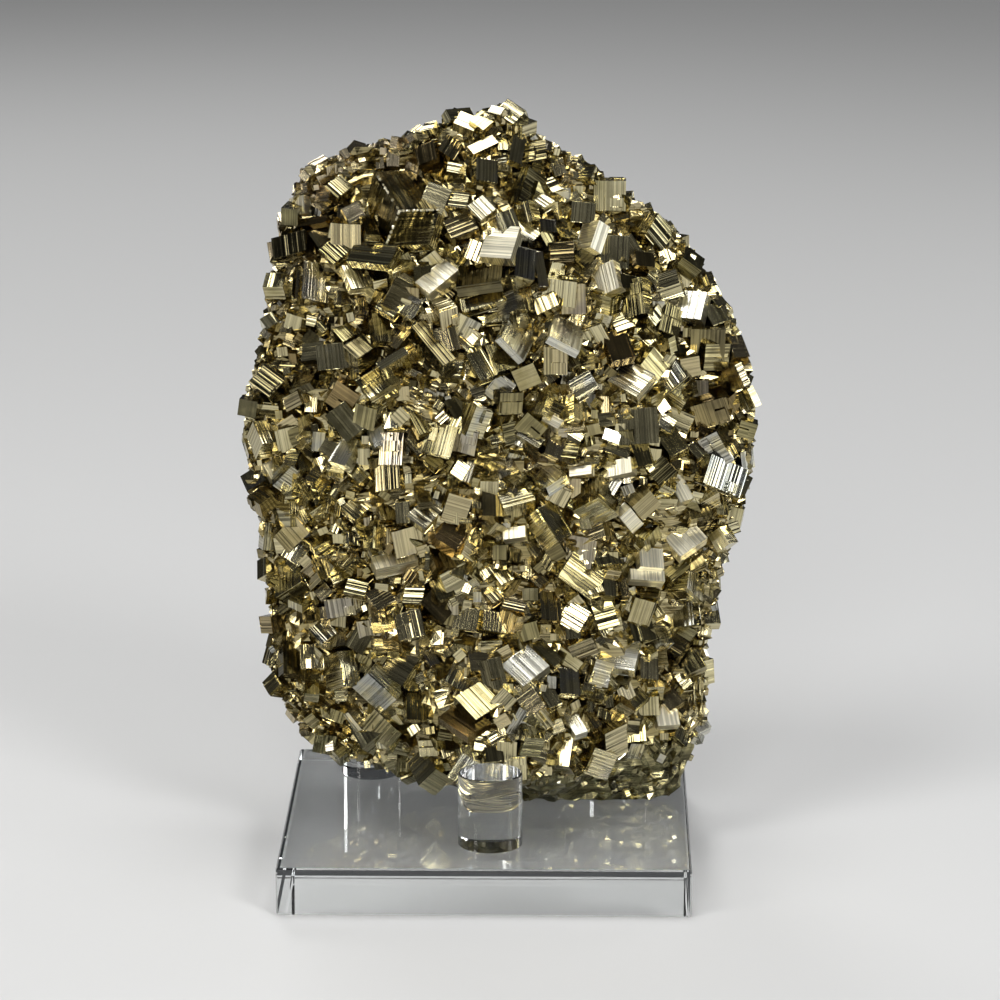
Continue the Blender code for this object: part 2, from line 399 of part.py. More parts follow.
class Chart:
    """Where the charted crystals lie, so that others don't grow in front of them."""

    def __init__(self, margin):
        corners = []
        ones = []
        twos = []
        for row in CRYSTALS:
            corner = np.array(row[:2])
            ends = [np.array(row[k:k + 2]) - corner for k in (2, 4, 6)]
            for i, j in ((0, 1), (1, 2), (2, 0)):
                corners.append(corner)
                ones.append(ends[i])
                twos.append(ends[j])
        self.corners = np.array(corners)
        self.ones = np.array(ones)
        self.twos = np.array(twos)
        self.cross = self.ones[:, 0] * self.twos[:, 1] - self.ones[:, 1] * self.twos[:, 0]
        self.margin_one = margin / np.maximum(np.linalg.norm(self.ones, axis=1), 1.0)
        self.margin_two = margin / np.maximum(np.linalg.norm(self.twos, axis=1), 1.0)

    def covers(self, point):
        """Whether a world point is seen inside a charted crystal."""
        offset = point - VIEW_CENTRE
        scale = 1.0 - offset.dot(SIGHT_BACK) / VIEW_DISTANCE
        gap = np.array((offset.dot(SIGHT_RIGHT), offset.dot(SIGHT_UP))) / scale - self.corners
        s = (gap[:, 0] * self.twos[:, 1] - gap[:, 1] * self.twos[:, 0]) / self.cross
        t = (self.ones[:, 0] * gap[:, 1] - self.ones[:, 1] * gap[:, 0]) / self.cross
        inside = (s > -self.margin_one) & (s < 1.0 + self.margin_one)
        inside &= (t > -self.margin_two) & (t < 1.0 + self.margin_two)
        return bool(inside.any())


def fill_crystals(rng, taken):
    """Small crystals between the charted ones."""
    chart = Chart(FILL_MARGIN)
    crystals = []
    tries = 0
    while len(crystals) < FILL_COUNT and tries < FILL_TRIES:
        tries += 1
        angle = rng.uniform(0.0, 2.0 * math.pi)
        share = math.sqrt(rng.uniform(0.0, 0.97))
        radius = rim_radius(angle) * share
        u = HEART[0] + math.cos(angle) * radius
        v = HEART[1] + math.sin(angle) * radius
        if on_bare_foot(u, v):
            continue
        place = from_face(u, v, front_level(u, v) - FILL_SINK)
        if any((place - other).length < FILL_SPACING for other in taken) or chart.covers(place):
            continue
        taken.append(place)
        sizes = [rng.uniform(*FILL_SIZES) for _ in range(3)]
        crystals.append(block_at(place, sizes, random_frame(rng)))
    return crystals


def rim_crystals(rng):
    """Crystals around the edge, a little behind the outline."""
    crystals = []
    for k in range(RIM_COUNT):
        angle = 2.0 * math.pi * (k + rng.uniform(-0.3, 0.3)) / RIM_COUNT
        size = rng.uniform(*RIM_SIZES)
        radius = rim_radius(angle) - 0.55 * size
        u = HEART[0] + math.cos(angle) * radius
        v = max(HEART[1] + math.sin(angle) * radius, 0.9 * size)
        sizes = [size * rng.uniform(0.75, 1.0) for _ in range(3)]
        place = from_face(u, v, RIM_LEVEL + rng.uniform(-6.0, 4.0))
        block = block_at(place, sizes, random_frame(rng))
        if not on_bare_foot(u, v):
            crystals.append(block)
    return crystals


def back_blocks(rng):
    """Low blocky lumps over the back of the matrix."""
    blocks = []
    for k in range(BACK_COUNT):
        share = math.sqrt((k + 0.5) / BACK_COUNT) * BACK_REACH
        angle = k * GOLDEN_ANGLE
        radius = rim_radius(angle) * share
        size = rng.uniform(*BACK_SIZES)
        sizes = [size * rng.uniform(0.7, 1.1), size * rng.uniform(0.7, 1.1), BACK_THICKNESS]
        tilt = Matrix.Rotation(rng.gauss(0.0, BACK_TILT), 3, "X")
        tilt @= Matrix.Rotation(rng.gauss(0.0, BACK_TILT), 3, "Y")
        face = Matrix((Vector((1.0, 0.0, 0.0)), FACE_UP, FACE_OUT)).transposed()
        frame = face @ tilt @ Matrix.Rotation(rng.uniform(0.0, math.pi), 3, "Z")
        u = HEART[0] + math.cos(angle) * radius
        v = max(HEART[1] + math.sin(angle) * radius, 0.55 * size)
        sunk = BACK_LEVEL + BACK_RISE + BACK_RIM_RISE * share ** 4
        blocks.append(block_at(from_face(u, v, sunk), sizes, frame))
    return blocks


def block_mesh(corner, edges):
    """Closed box mesh from a corner and its edges."""
    bm = bmesh.new()
    spots = []
    for i in (0, 1):
        for j in (0, 1):
            for k in (0, 1):
                spots.append(bm.verts.new(corner + edges[0] * i + edges[1] * j + edges[2] * k))
    for quad in ((0, 1, 3, 2), (4, 6, 7, 5), (0, 4, 5, 1), (2, 3, 7, 6), (0, 2, 6, 4), (1, 5, 7, 3)):
        bm.faces.new([spots[n] for n in quad])
    bmesh.ops.recalc_face_normals(bm, faces=bm.faces[:])
    return bm


CUT_REACH = 120.0           # beyond every side of the specimen
PEG_CUT_DEPTH = 5.0         # the clearance around a peg starts this far inside the plate
CREASE = math.radians(30.0)


# --- Objects --------------------------------------------------------------------------------------------
def material(name, color, roughness, metallic, transmission=0.0):
    """Plain Principled material."""
    made = bpy.data.materials.new(name)
    made.use_nodes = True
    shader = made.node_tree.nodes["Principled BSDF"]
    shader.inputs["Base Color"].default_value = (*color, 1.0)
    shader.inputs["Roughness"].default_value = roughness
    shader.inputs["Metallic"].default_value = metallic
    shader.inputs["Transmission Weight"].default_value = transmission
    shader.inputs["IOR"].default_value = 1.49
    return made


def metres(bm):
    """Millimetres to Blender's metres."""
    bmesh.ops.scale(bm, vec=(MM, MM, MM), verts=bm.verts[:])


def new_object(name, bm, finish, collection=None):
    """Object from a bmesh in millimetres."""
    metres(bm)
    mesh = bpy.data.meshes.new(name)
    bm.to_mesh(mesh)
    bm.free()
    mesh.materials.append(finish)
    made = bpy.data.objects.new(name, mesh)
    (collection or bpy.context.scene.collection).objects.link(made)
    return made


def keep_outer_shell(mesh):
    """Leave only the largest connected skin, without sealed hollows."""
    bm = bmesh.new()
    bm.from_mesh(mesh)
    unseen = set(bm.verts)
    shells = []
    while unseen:
        stack = [unseen.pop()]
        shell = list(stack)
        while stack:
            for edge in stack.pop().link_edges:
                for vert in edge.verts:
                    if vert in unseen:
                        unseen.discard(vert)
                        stack.append(vert)
                        shell.append(vert)
        shells.append(shell)
    shells.sort(key=len)
    for shell in shells[:-1]:
        bmesh.ops.delete(bm, geom=shell, context="VERTS")
    bmesh.ops.triangulate(bm, faces=bm.faces[:])
    bm.to_mesh(mesh)
    bm.free()


def add_boolean(target, operation, collection):
    """Boolean of the target with every object of a collection."""
    modifier = target.modifiers.new(operation.title(), "BOOLEAN")
    modifier.operation = operation
    modifier.operand_type = "COLLECTION"
    modifier.collection = collection
    modifier.solver = "EXACT"


def specimen(finish):
    """The crystals and their matrix, grown as one solid."""
    rng = random.Random(FILL_SEED)
    body = new_object("specimen_body", body_mesh(rng), finish)
    crystals = charted_crystals()
    taken = [corner + (edges[0] + edges[1] + edges[2]) * CORE for corner, edges in crystals]
    crystals += fill_crystals(rng, taken)
    crystals += rim_crystals(rng)
    crystals += back_blocks(rng)
    grown = bpy.data.collections.new("grown")
    cut = bpy.data.collections.new("cut")
    for number, (corner, edges) in enumerate(crystals):
        new_object(f"crystal_{number}", block_mesh(corner, edges), finish, grown)
    for number, cutter in enumerate((foot_cutter(), *peg_cutters())):
        new_object(f"cutter_{number}", cutter, finish, cut)
    add_boolean(body, "UNION", grown)
    add_boolean(body, "DIFFERENCE", cut)
    bpy.context.view_layer.update()
    solid = bpy.data.meshes.new_from_object(body.evaluated_get(bpy.context.evaluated_depsgraph_get()))
    keep_outer_shell(solid)
    solid.name = "pyrite_cluster"
    for leftover in (*grown.objects, *cut.objects, body):
        bpy.data.objects.remove(leftover)
    bpy.data.collections.remove(grown)
    bpy.data.collections.remove(cut)
    made = bpy.data.objects.new("pyrite_cluster", solid)
    bpy.context.scene.collection.objects.link(made)
    return made


def box_mesh(low, high):
    """Closed box between two corners."""
    size = Vector(high) - Vector(low)
    return block_mesh(Vector(low), [Vector((size.x, 0, 0)), Vector((0, size.y, 0)), Vector((0, 0, size.z))])


def foot_cutter():
    """Everything below the plane that the specimen rests on."""
    return box_mesh((-CUT_REACH, -CUT_REACH, FOOT_Z - CUT_REACH), (CUT_REACH, CUT_REACH, FOOT_Z))


PEGS = [
    ("front_peg", PEG_AXIS_X, -PEG_ROW_Y, FRONT_PEG_HEIGHT),
    ("back_left_peg", PEG_AXIS_X - PEG_SPREAD, PEG_ROW_Y, BACK_PEG_HEIGHT),
    ("back_right_peg", PEG_AXIS_X + PEG_SPREAD, PEG_ROW_Y, BACK_PEG_HEIGHT),
]


def rod_mesh(x, y, bottom, top, radius, chamfer):
    """Upright rod with chamfered ends."""
    bm = bmesh.new()
    bmesh.ops.create_cone(bm, cap_ends=True, segments=PEG_SIDES, radius1=radius, radius2=radius,
                          depth=top - bottom)
    bmesh.ops.translate(bm, vec=(x, y, 0.5 * (top + bottom)), verts=bm.verts[:])
    if chamfer:
        rims = [edge for edge in bm.edges if any(len(face.verts) > 4 for face in edge.link_faces)]
        bmesh.ops.bevel(bm, geom=rims, offset=chamfer, segments=1, affect="EDGES")
    return bm


def peg_cutters():
    """Clearance around each peg."""
    cutters = []
    for _, x, y, height in PEGS:
        bottom = PLATE_THICKNESS - PEG_CUT_DEPTH
        top = PLATE_THICKNESS + height + CONTACT_GAP
        cutters.append(rod_mesh(x, y, bottom, top, 0.5 * PEG_DIAMETER + CONTACT_GAP, 0.0))
    return cutters


def stand(finish):
    """The plate and its three pegs."""
    half = 0.5 * PLATE_SIDE
    bm = box_mesh((-half, -half, 0.0), (half, half, PLATE_THICKNESS))
    bmesh.ops.bevel(bm, geom=bm.edges[:], offset=PLATE_CHAMFER, segments=1, affect="EDGES")
    new_object("base_plate", bm, finish("acrylic_plate"))
    bottom = PLATE_THICKNESS + CONTACT_GAP
    for name, x, y, height in PEGS:
        rod = rod_mesh(x, y, bottom, PLATE_THICKNESS + height, 0.5 * PEG_DIAMETER, PEG_CHAMFER)
        peg = new_object(name, rod, finish("acrylic_" + name))
        peg.data.shade_smooth()
        peg.data.set_sharp_from_angle(angle=CREASE)


def main():
    """Build the whole part in an empty scene."""
    for old in list(bpy.data.objects):
        bpy.data.objects.remove(old)
    specimen(material("pyrite", (0.60, 0.53, 0.34), 0.22, 1.0))
    stand(lambda name: material(name, (0.95, 0.97, 0.97), 0.04, 0.0, 1.0))


main()
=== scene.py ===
"""Looks of the pyrite specimen and its clear stand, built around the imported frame."""

import itertools
import json
import math
import random

import bmesh
import bpy
import numpy as np
from mathutils import Matrix, Vector
from mathutils.kdtree import KDTree

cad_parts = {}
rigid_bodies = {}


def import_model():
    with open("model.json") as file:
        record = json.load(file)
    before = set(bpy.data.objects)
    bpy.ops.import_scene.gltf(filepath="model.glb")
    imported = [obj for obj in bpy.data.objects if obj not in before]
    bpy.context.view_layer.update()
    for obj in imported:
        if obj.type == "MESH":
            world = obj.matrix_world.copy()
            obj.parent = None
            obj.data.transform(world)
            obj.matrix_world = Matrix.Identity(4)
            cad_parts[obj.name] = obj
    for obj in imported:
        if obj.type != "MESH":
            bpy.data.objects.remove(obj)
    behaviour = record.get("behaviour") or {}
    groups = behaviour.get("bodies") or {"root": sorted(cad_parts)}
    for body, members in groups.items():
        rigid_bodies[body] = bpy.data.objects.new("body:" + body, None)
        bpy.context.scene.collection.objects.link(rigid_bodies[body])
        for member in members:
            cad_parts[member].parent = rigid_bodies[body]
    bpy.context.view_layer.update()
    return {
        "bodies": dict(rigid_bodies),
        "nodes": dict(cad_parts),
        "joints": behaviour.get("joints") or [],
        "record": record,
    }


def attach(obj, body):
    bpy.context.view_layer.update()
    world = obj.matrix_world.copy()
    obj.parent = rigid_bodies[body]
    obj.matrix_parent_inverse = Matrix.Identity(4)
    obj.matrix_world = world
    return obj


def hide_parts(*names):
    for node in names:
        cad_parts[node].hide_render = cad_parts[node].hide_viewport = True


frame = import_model()

# --- Stand ---
MM = 0.001
PLATE_THICKNESS = 12.0
PEG_DIAMETER = 15.875  # 5/8 inch rod
FRONT_PEG_HEIGHT = 18.6
BACK_PEG_HEIGHT = 38.0
PEG_SPREAD = 32.0  # back pegs left and right of the front peg
PEG_AXIS_X = 1.2  # the pegs' line of symmetry
PEG_ROW_Y = 30.6  # rows in front of and behind the plate's centre
CONTACT_GAP = 0.3  # clearance between pieces that touch

# --- Specimen frame: u across, v up the leaning face, w out of it ---
LEAN = math.radians(5.0)
FOOT_Y = -3.0
FOOT_Z = PLATE_THICKNESS + CONTACT_GAP
HEART = (3.0, 92.0)  # middle of the outline, where its polar form starts

# --- Chart: a plane square to one line of sight ---
VIEW_DISTANCE = 1172.0
VIEW_PITCH = math.radians(13.62)
VIEW_YAW = math.radians(-1.01)
VIEW_CENTRE = Vector((3.1, 0.0, 92.4))

# --- Body of the specimen ---
FACE_CROWN = 14.0  # how far the middle of the front stands out of the face plane
FACE_DROP = 22.0  # how far the front falls back towards its rim
FOOT_BULGE = 24.0  # the low front bulges against the front peg
FOOT_BULGE_AT = (1.0, 12.5)
FOOT_BULGE_REACH = 23.0
BODY_SINK = 6.0  # matrix surface below the level of the crystals
BODY_SECTORS = 40
FOOT_PRESS = 3.2  # the lowest stretch is drawn down by up to this, and ends flat on the plate
FOOT_FLAT = 8.0  # up to this v
FRONT_RINGS = (0.28, 0.52, 0.72, 0.9)
BACK_RINGS = ((0.97, -16.5), (0.86, -22.0), (0.64, -24.0), (0.34, -24.6))
RIM_LEVEL = -8.5
RIM_RING = 0.985  # share of the outline where the body turns back
BACK_LEVEL = -24.5
BODY_ROUGHNESS = 1.3
SHARE_MOST = 1.04  # beyond this share of the outline the front falls no further
FALL_POWER = 3
TINY = 1e-6
PARALLEL = 1e-9

# --- Crystals in the chart ---
SLANT_FLOOR = 0.05  # least share of an edge that runs straight away from the viewer
SLANT_CAP = 1.25  # most of it
SEEN_FLOOR = 0.55  # an edge is taken as seen at least this much from the side
EDGE_RANGE = (2.2, 15.5)
TIP_CLEARANCE = 2.2  # the deepest seen tip stands this far out of the matrix
ROOT_SHARE = 0.32  # but at least this share of a crystal stays in it
LIFT_RANGE = (1.5, 14.0)
LEVEL_STEPS = 6  # rounds in which a crystal's distance is settled
CORE = 0.4  # share of all three edges from the near corner to a crystal's core

# --- Crystals outside the chart ---
FILL_SEED = 7
FILL_COUNT = 30
FILL_TRIES = 20000
FILL_SPACING = 6.2
FILL_SIZES = (5.0, 9.0)
FILL_SINK = 4.8
FILL_MARGIN = 1.5
FILL_AREA = 0.97  # share of the face that they spread over
GOLDEN_ANGLE = math.pi * (3.0 - math.sqrt(5.0))
BACK_COUNT = 30
BACK_SIZES = (13.0, 24.0)
BACK_THICKNESS = 7.0
BACK_TILT = 0.16
BACK_SHAPES = (0.7, 1.1)
BACK_FLOOR = 0.55
BACK_REACH = 0.86  # share of the outline that the lumps on the back fill
BACK_RISE = 2.6  # their middles lie this far in front of the back of the body
BACK_RIM_RISE = 5.0  # and this much further towards the rim
RIM_COUNT = 30
RIM_SIZES = (4.0, 7.5)
RIM_SHAPES = (0.75, 1.0)
RIM_STRAY = 0.3
RIM_INSET = 0.55  # in shares of a crystal's size
RIM_FLOOR = 0.9
RIM_LEVELS = (-6.0, 4.0)
BARE_FROM = -20.0  # right of this u the foot of the matrix is bare
BARE_LEVEL = 8.5  # up to this v in the middle
BARE_RISE = 0.16  # and higher towards the right

# Outline of the specimen seen square to its face, (u, v), clockwise from the top.
OUTLINE = [
    (0.2, 180), (6.5, 177), (13, 170), (21.5, 165.5), (30, 160), (38, 154), (44, 150.5), (50.5, 144),
    (54, 138), (57, 132), (60.5, 126.5), (63.5, 121.5), (64.5, 116.5), (66, 108), (67.5, 96.5), (66.5, 86),
    (65.5, 81), (63.5, 71), (59.5, 63), (58.5, 53), (56.5, 46.5), (55, 42.5), (55.5, 32), (56.5, 22),
    (54, 15), (51, 10), (51, 3.5), (41.5, 0.5), (28.5, 0), (18, 0), (10.5, 1.5), (0.5, 2), (-10, 4),
    (-17.5, 5), (-22.5, 6.5), (-27.5, 8.5), (-35.5, 9.5), (-43, 13), (-48, 16.5), (-52, 22.5), (-55.5, 28),
    (-57.5, 42), (-55.5, 52), (-57.5, 62.5), (-59, 73), (-60.5, 80.5), (-61, 88), (-62.5, 96), (-63, 103.5),
    (-60.5, 111), (-57, 116), (-57, 124), (-55.5, 131.5), (-56, 141.5), (-52.5, 148), (-51, 154),
    (-47.5, 161.5), (-40, 164), (-35, 167.5), (-27.5, 168), (-22.5, 170), (-15, 171.5), (-10, 174.5),
    (-5, 178),
]

# Crystals, each by its near corner and the three edges that leave it as they are seen, in tenths of a
# chart millimetre: corner a, b, then three edges a, b. All three edges run away from the viewer.
TENTHS = 10.0
CRYSTALS = [
    # upper left
    (-252, 724, -66, 109, 96, 6, -34, -80), (-378, 750, 40, 94, 33, -18, -37, -12),
    (-406, 756, -33, 32, 37, 32, 4, -16), (-489, 718, -3, 47, -38, -8, 15, -4),
    (-448, 722, -28, 20, 38, 16, -2, -12), (-409, 708, 4, 27, 26, -7, -9, -8),
    (-436, 696, -74, -10, 2, 14, 10, -10), (-416, 590, -38, 38, 38, 36, 6, -14),
    (-484, 626, -8, 52, -86, -17, 24, -10), (-334, 666, -20, 50, 36, -2, -4, -14),
    (-176, 640, -106, -2, 22, 78, 14, -14), (-278, 588, -108, 14, 22, 50, 10, -16),
    # top
    (-122, 951, 60, 9, -14, 28, -12, -15), (-66, 924, -50, 21, 18, 32, -4, -18),
    (-42, 926, 30, 28, -34, 26, -2, -20), (-156, 878, 39, 63, 41, -27, -14, -14),
    (-158, 856, -10, 46, -48, -16, 26, -22), (-133, 824, 45, -8, 2, 24, -9, -20),
    (-66, 866, 62, 32, -16, 20, -2, -20), (22, 852, 14, 66, 32, -10, -10, -10),
    (-60, 802, 4, 57, 54, -4, -14, -12), (-49, 700, -32, 38, 39, 32, 3, -16),
    (26, 604, -78, 8, 23, 82, 10, -18), (2, 549, 6, 55, -111, -15, 6, -25),
    (36, 562, 8, 76, 50, -10, -14, -16), (98, 534, -12, 90, 24, 2, -8, -16),
    (110, 732, -36, 26, 28, 18, 0, -16), (102, 674, -2, 32, 41, -2, -12, -14),
    (100, 668, 19, -32, 22, 16, -18, -2), (82, 700, -13, 52, -46, -18, 22, -1),
    (-120, 652, 66, 28, -22, 48, 4, -18), (-86, 730, -46, 8, 10, 40, 6, -14),
    # upper right
    (226, 633, 23, 69, 27, -16, -40, -7), (342, 588, -2, 36, 47, -3, -12, -12),
    (330, 712, -9, 24, 26, 1, -6, -14), (324, 708, -6, 26, -42, -10, 6, -12),
    (299, 532, -17, 70, -73, -30, 17, -8), (304, 532, -2, 36, 45, -6, -12, -10),
    (364, 468, -12, 91, -54, -9, 24, -6), (502, 452, 14, 70, -90, 14, 14, -18),
    (534, 436, -22, 48, 42, 18, -4, -20), (564, 469, -12, 15, 16, 11, 4, -11),
    (544, 488, -14, 10, 12, 12, 2, -12), (536, 510, -11, 24, 14, 3, -2, -14),
    (516, 390, 64, 2, -6, -66, -12, 4), (588, 337, 27, -55, -78, -27, 17, 8),
    (610, 340, -18, 14, 12, 14, 0, -14), (421, 403, 8, -41, -38, 13, 17, 9),
    (438, 368, -4, 24, 31, -3, -8, -8), (282, 346, -22, 72, 58, 16, -8, -18),
    (342, 259, -70, 43, 46, 57, 6, -19), (470, 312, -33, 48, -70, -55, 18, -10),
    (124, 411, 22, 91, 74, -39, -10, -17),
    # middle, upper half
    (2, 408, 29, 60, 58, -58, -14, -8), (-6, 320, -28, 68, 50, 16, -4, -16),
    (-48, 298, -38, 76, 40, 18, -4, -16), (-142, 337, -78, 100, 30, 18, -6, -25),
    (-100, 306, -49, 5, 11, 62, 6, -16), (-152, 468, -28, 38, 6, -48, 44, 16),
    (-176, 517, -36, 30, 70, 61, 4, -19), (-129, 500, -20, 19, 17, 16, 1, -12),
    (10, 500, -8, 34, -104, -26, 10, -14), (22, 449, 4, 29, -61, -5, 10, -11),
    # left, upper half
    (-498, 506, 9, 94, 88, -13, -28, -14), (-408, 492, 2, 34, 38, -3, -10, -10),
    (-372, 529, -26, 59, 52, 7, -6, -15), (-318, 546, -14, 28, 34, 8, 2, -14),
    (-355, 466, -1, 50, 25, -4, -9, -8), (-314, 400, -8, 76, 44, -4, -10, -12),
    (-268, 456, -46, 28, 26, 34, 4, -12), (-358, 354, -36, 32, 48, 32, 6, -52),
    (-298, 326, 68, 43, -12, 17, 14, -52), (-578, 258, -52, 42, 40, 48, 16, -34),
    (-599, 330, -6, 24, 57, -1, -3, -12), (-445, 354, -54, -5, 2, 44, 7, -8),
    (-476, 294, -54, -20, 24, 50, 10, -14), (-496, 240, -40, -19, -12, 34, 38, 10),
    (-493, 174, -7, 64, 21, -2, -11, -12), (-438, 218, 14, 56, 18, -12, -12, -8),
    (-428, 280, 16, 56, 20, -6, -10, -10), (-392, 396, -26, 28, 34, 22, 0, -12),
    (-446, 418, -18, 22, 17, 12, -2, -12), (-374, 302, -4, 44, 42, -2, -8, -18),
    # left, middle
    (-629, 114, -17, 54, 41, 10, -3, -18), (-514, 85, -32, 5, 14, 41, 8, -11),
    (-502, 72, -6, 41, 38, 4, -4, -12), (-573, 53, -21, 39, 23, 10, -3, -13),
    (-538, 10, -24, 24, 34, 2, -2, -14), (-466, 42, -24, 12, 30, 38, 6, -14),
    (-392, 66, -44, 8, 4, 14, 2, -14), (-389, 86, 39, 68, -43, 12, 15, -18),
    (-314, 132, -22, 66, 34, 10, -4, -14), (-250, 30, -6, 66, -62, -8, 14, -4),
    (-354, 40, -32, 32, 28, 24, 6, -16), (-362, -50, -36, 32, 40, 34, 2, -16),
    (-394, -76, -15, 28, 30, 12, -2, -14), (-300, -50, -10, 42, 46, 4, -6, -14),
    (-319, -120, 3, 70, 29, -6, -25, -6), (-386, -110, 2, 38, 44, -4, -10, -10),
    (-403, -134, -3, 20, 19, 0, -9, -10), (-489, -59, -15, 33, 39, 13, -1, -15),
    (-466, -120, -36, 24, 48, 24, 4, -18), (-310, -174, -14, 30, 104, 24, 0, -26),
    (-340, -242, -52, 14, 10, 36, 4, -14),
    # middle
    (-206, 110, -44, 56, 38, 29, -2, -12), (-201, 164, -28, 54, 31, 10, -5, -14),
    (-162, 77, -29, 25, 20, 21, 0, -15), (-78, 44, 18, 64, -18, 4, 6, -12),
    (-44, -38, 2, 66, 72, -4, -10, -12), (-68, -20, -6, 46, 20, -1, -6, -12),
    (-200, -6, -19, 46, 32, 2, -2, -14), (-189, -74, -44, 36, 47, 56, 1, -16),
    (-110, -126, -55, 34, 36, 54, -9, -20), (-72, -59, -30, 0, 2, 23, 4, -13),
    (64, -92, -2, 28, -56, -6, 6, -12), (22, -151, 2, 33, 30, -4, -8, -11),
    (8, -166, -12, 32, 12, 4, -4, -12), (4, -212, -26, 36, 32, 16, -2, -16),
    (88, -146, -26, 38, 14, 8, 2, -14), (144, -104, -51, 82, 42, 20, -32, -28),
    (116, 30, -56, 46, 50, 34, 8, -22), (96, 130, -54, 36, 18, 22, -2, -16),
    (86, 100, -24, 30, 18, 12, -2, -12), (144, 178, -38, 24, 14, 22, 2, -16),
    (148, 212, -30, 18, 16, 26, 0, -12), (212, 176, -53, -4, -2, 44, 10, -8),
    (190, 104, -44, 6, 12, 42, 6, -14), (248, 90, -38, 1, 2, 22, 4, -12), (229, 66, -55, -5, -1, 22, 9, -8),
    # right, middle
    (330, 70, -4, 38, -78, -14, 14, -8), (346, 83, -22, 75, 42, 9, -14, -9),
    (428, 108, -38, 61, 46, 26, -2, -18), (496, 102, -28, 32, 30, 24, -2, -14),
    (452, -6, -35, 76, 34, 12, -8, -12), (300, -44, 27, 24, 35, -40, -14, 14),
    (331, -18, 45, 41, 29, -34, -19, 20), (452, -142, -66, 82, 66, 52, -2, -20),
    (509, 44, 25, 70, 95, -35, -25, 2), (544, -36, -6, 61, 28, -2, -8, -12),
    (538, -79, -32, 3, 12, 41, 6, -13), (466, -183, -16, 27, 52, 27, 0, -15),
    (352, -166, -2, 48, 60, -4, -10, -14), (328, -198, -1, 26, 86, -4, -8, -16),
    # left, lower half
    (-542, -432, -4, 152, 70, -10, -14, -12), (-496, -264, -36, 14, 36, 20, 0, -16),
    (-486, -302, -4, 28, 22, 2, -8, -10), (-446, -360, -34, 38, 38, 30, 2, -16),
    (-392, -467, -12, 88, 43, 4, -44, -17), (-488, -484, -4, 42, 36, -4, -4, -20),
    (-332, -434, 73, -66, 22, 26, -40, -38), (-380, -532, 20, 20, 34, -44, -12, -6),
    (-244, -466, -58, 32, 62, 105, 16, -12), (-174, -418, -20, 36, 24, 12, -4, -12),
    # middle, lower half
    (-44, -324, 6, 48, 72, -10, -12, -10), (-60, -328, 10, 54, -60, 8, 14, -8),
    (58, -282, -54, 14, 12, 40, 4, -14), (-18, -260, -32, 36, 26, 19, 0, -16),
    (-152, -254, -34, 66, 42, 18, -4, -16), (-196, -260, -50, 2, 10, 62, 6, -14),
    (99, -222, -27, 26, 23, 22, -1, -14), (104, -298, -4, 72, 52, -4, -10, -12),
    (57, -467, -53, 53, 65, 53, 2, -19), (136, -418, -52, 56, 22, 20, -2, -14),
    (124, -522, -26, 46, 32, 16, -2, -16), (189, -589, -47, 81, 31, 10, -3, -15),
    (238, -572, -40, 64, 16, 8, -4, -14), (-60, -550, -53, 56, 64, 40, -4, -20),
    (-138, -454, 26, 54, 62, -34, -10, -10), (-234, -548, 2, 72, 86, -4, -10, -14),
    (-80, -594, -76, 48, 56, 36, 0, -16), (-32, -656, -6, 36, 44, 4, -6, -12),
    (152, -484, -2, 64, 50, -4, -10, -12),
    # right, lower half
    (230, -344, -60, -25, 18, -39, -5, 22), (336, -428, -88, 14, 20, 84, 2, -16),
    (352, -446, 2, 54, 46, -4, -10, -12), (376, -389, -18, 17, 20, 11, 0, -11),
    (446, -394, -44, 30, 28, 40, 2, -18), (468, -438, -28, 50, 50, 24, 0, -16),
    (476, -354, -42, 26, 20, 24, 0, -14), (486, -312, -12, 96, -78, -12, 21, -3),
    (514, -310, -12, 104, 40, 2, -4, -16), (392, -296, -18, 28, 22, 12, 0, -14),
    (394, -248, -46, 6, 6, 26, 4, -12), (426, -528, -36, 46, 36, 24, -2, -14),
    (396, -566, -7, 52, 56, 6, -6, -14), (496, -584, -42, 70, 34, 18, -4, -20),
    (498, -506, -12, 38, 18, 2, -6, -12), (200, -486, 4, 24, 60, -14, -6, -12),
    (242, -542, 6, 24, 36, -10, -8, -8), (340, -522, -32, 34, 34, 30, -2, -14),
    (316, -464, -32, 6, 10, 28, 4, -12), (224, -238, -18, 38, 38, 12, -2, -14),
    (262, -238, -2, 56, 30, -4, -10, -12), (306, -242, -16, 66, 14, 2, -4, -14),
]


def turn(one, two):
    """Cross product in a plane."""
    return one[0] * two[1] - one[1] * two[0]


# --- Frames ---
FACE_UP = Vector((0.0, math.sin(LEAN), math.cos(LEAN)))
FACE_OUT = Vector((0.0, -math.cos(LEAN), math.sin(LEAN)))
FACE_ORIGIN = Vector((0.0, FOOT_Y, FOOT_Z))
SIGHT_BACK = -Vector((math.sin(VIEW_YAW) * math.cos(VIEW_PITCH),
                      math.cos(VIEW_YAW) * math.cos(VIEW_PITCH), -math.sin(VIEW_PITCH)))
SIGHT_RIGHT = Vector((math.cos(VIEW_YAW), -math.sin(VIEW_YAW), 0.0))
SIGHT_UP = SIGHT_BACK.cross(SIGHT_RIGHT)


def from_face(u, v, w):
    """World point of a place in the specimen's own frame."""
    return FACE_ORIGIN + Vector((u, 0.0, 0.0)) + FACE_UP * v + FACE_OUT * w


def to_face(point):
    """The specimen's own (u, v, w) of a world point."""
    offset = point - FACE_ORIGIN
    return offset.x, offset.dot(FACE_UP), offset.dot(FACE_OUT)


def from_chart(a, b, height):
    """World point seen at (a, b) of the chart, that far in front of the chart's plane."""
    across = SIGHT_RIGHT * a + SIGHT_UP * b
    return VIEW_CENTRE + across * (1.0 - height / VIEW_DISTANCE) + SIGHT_BACK * height


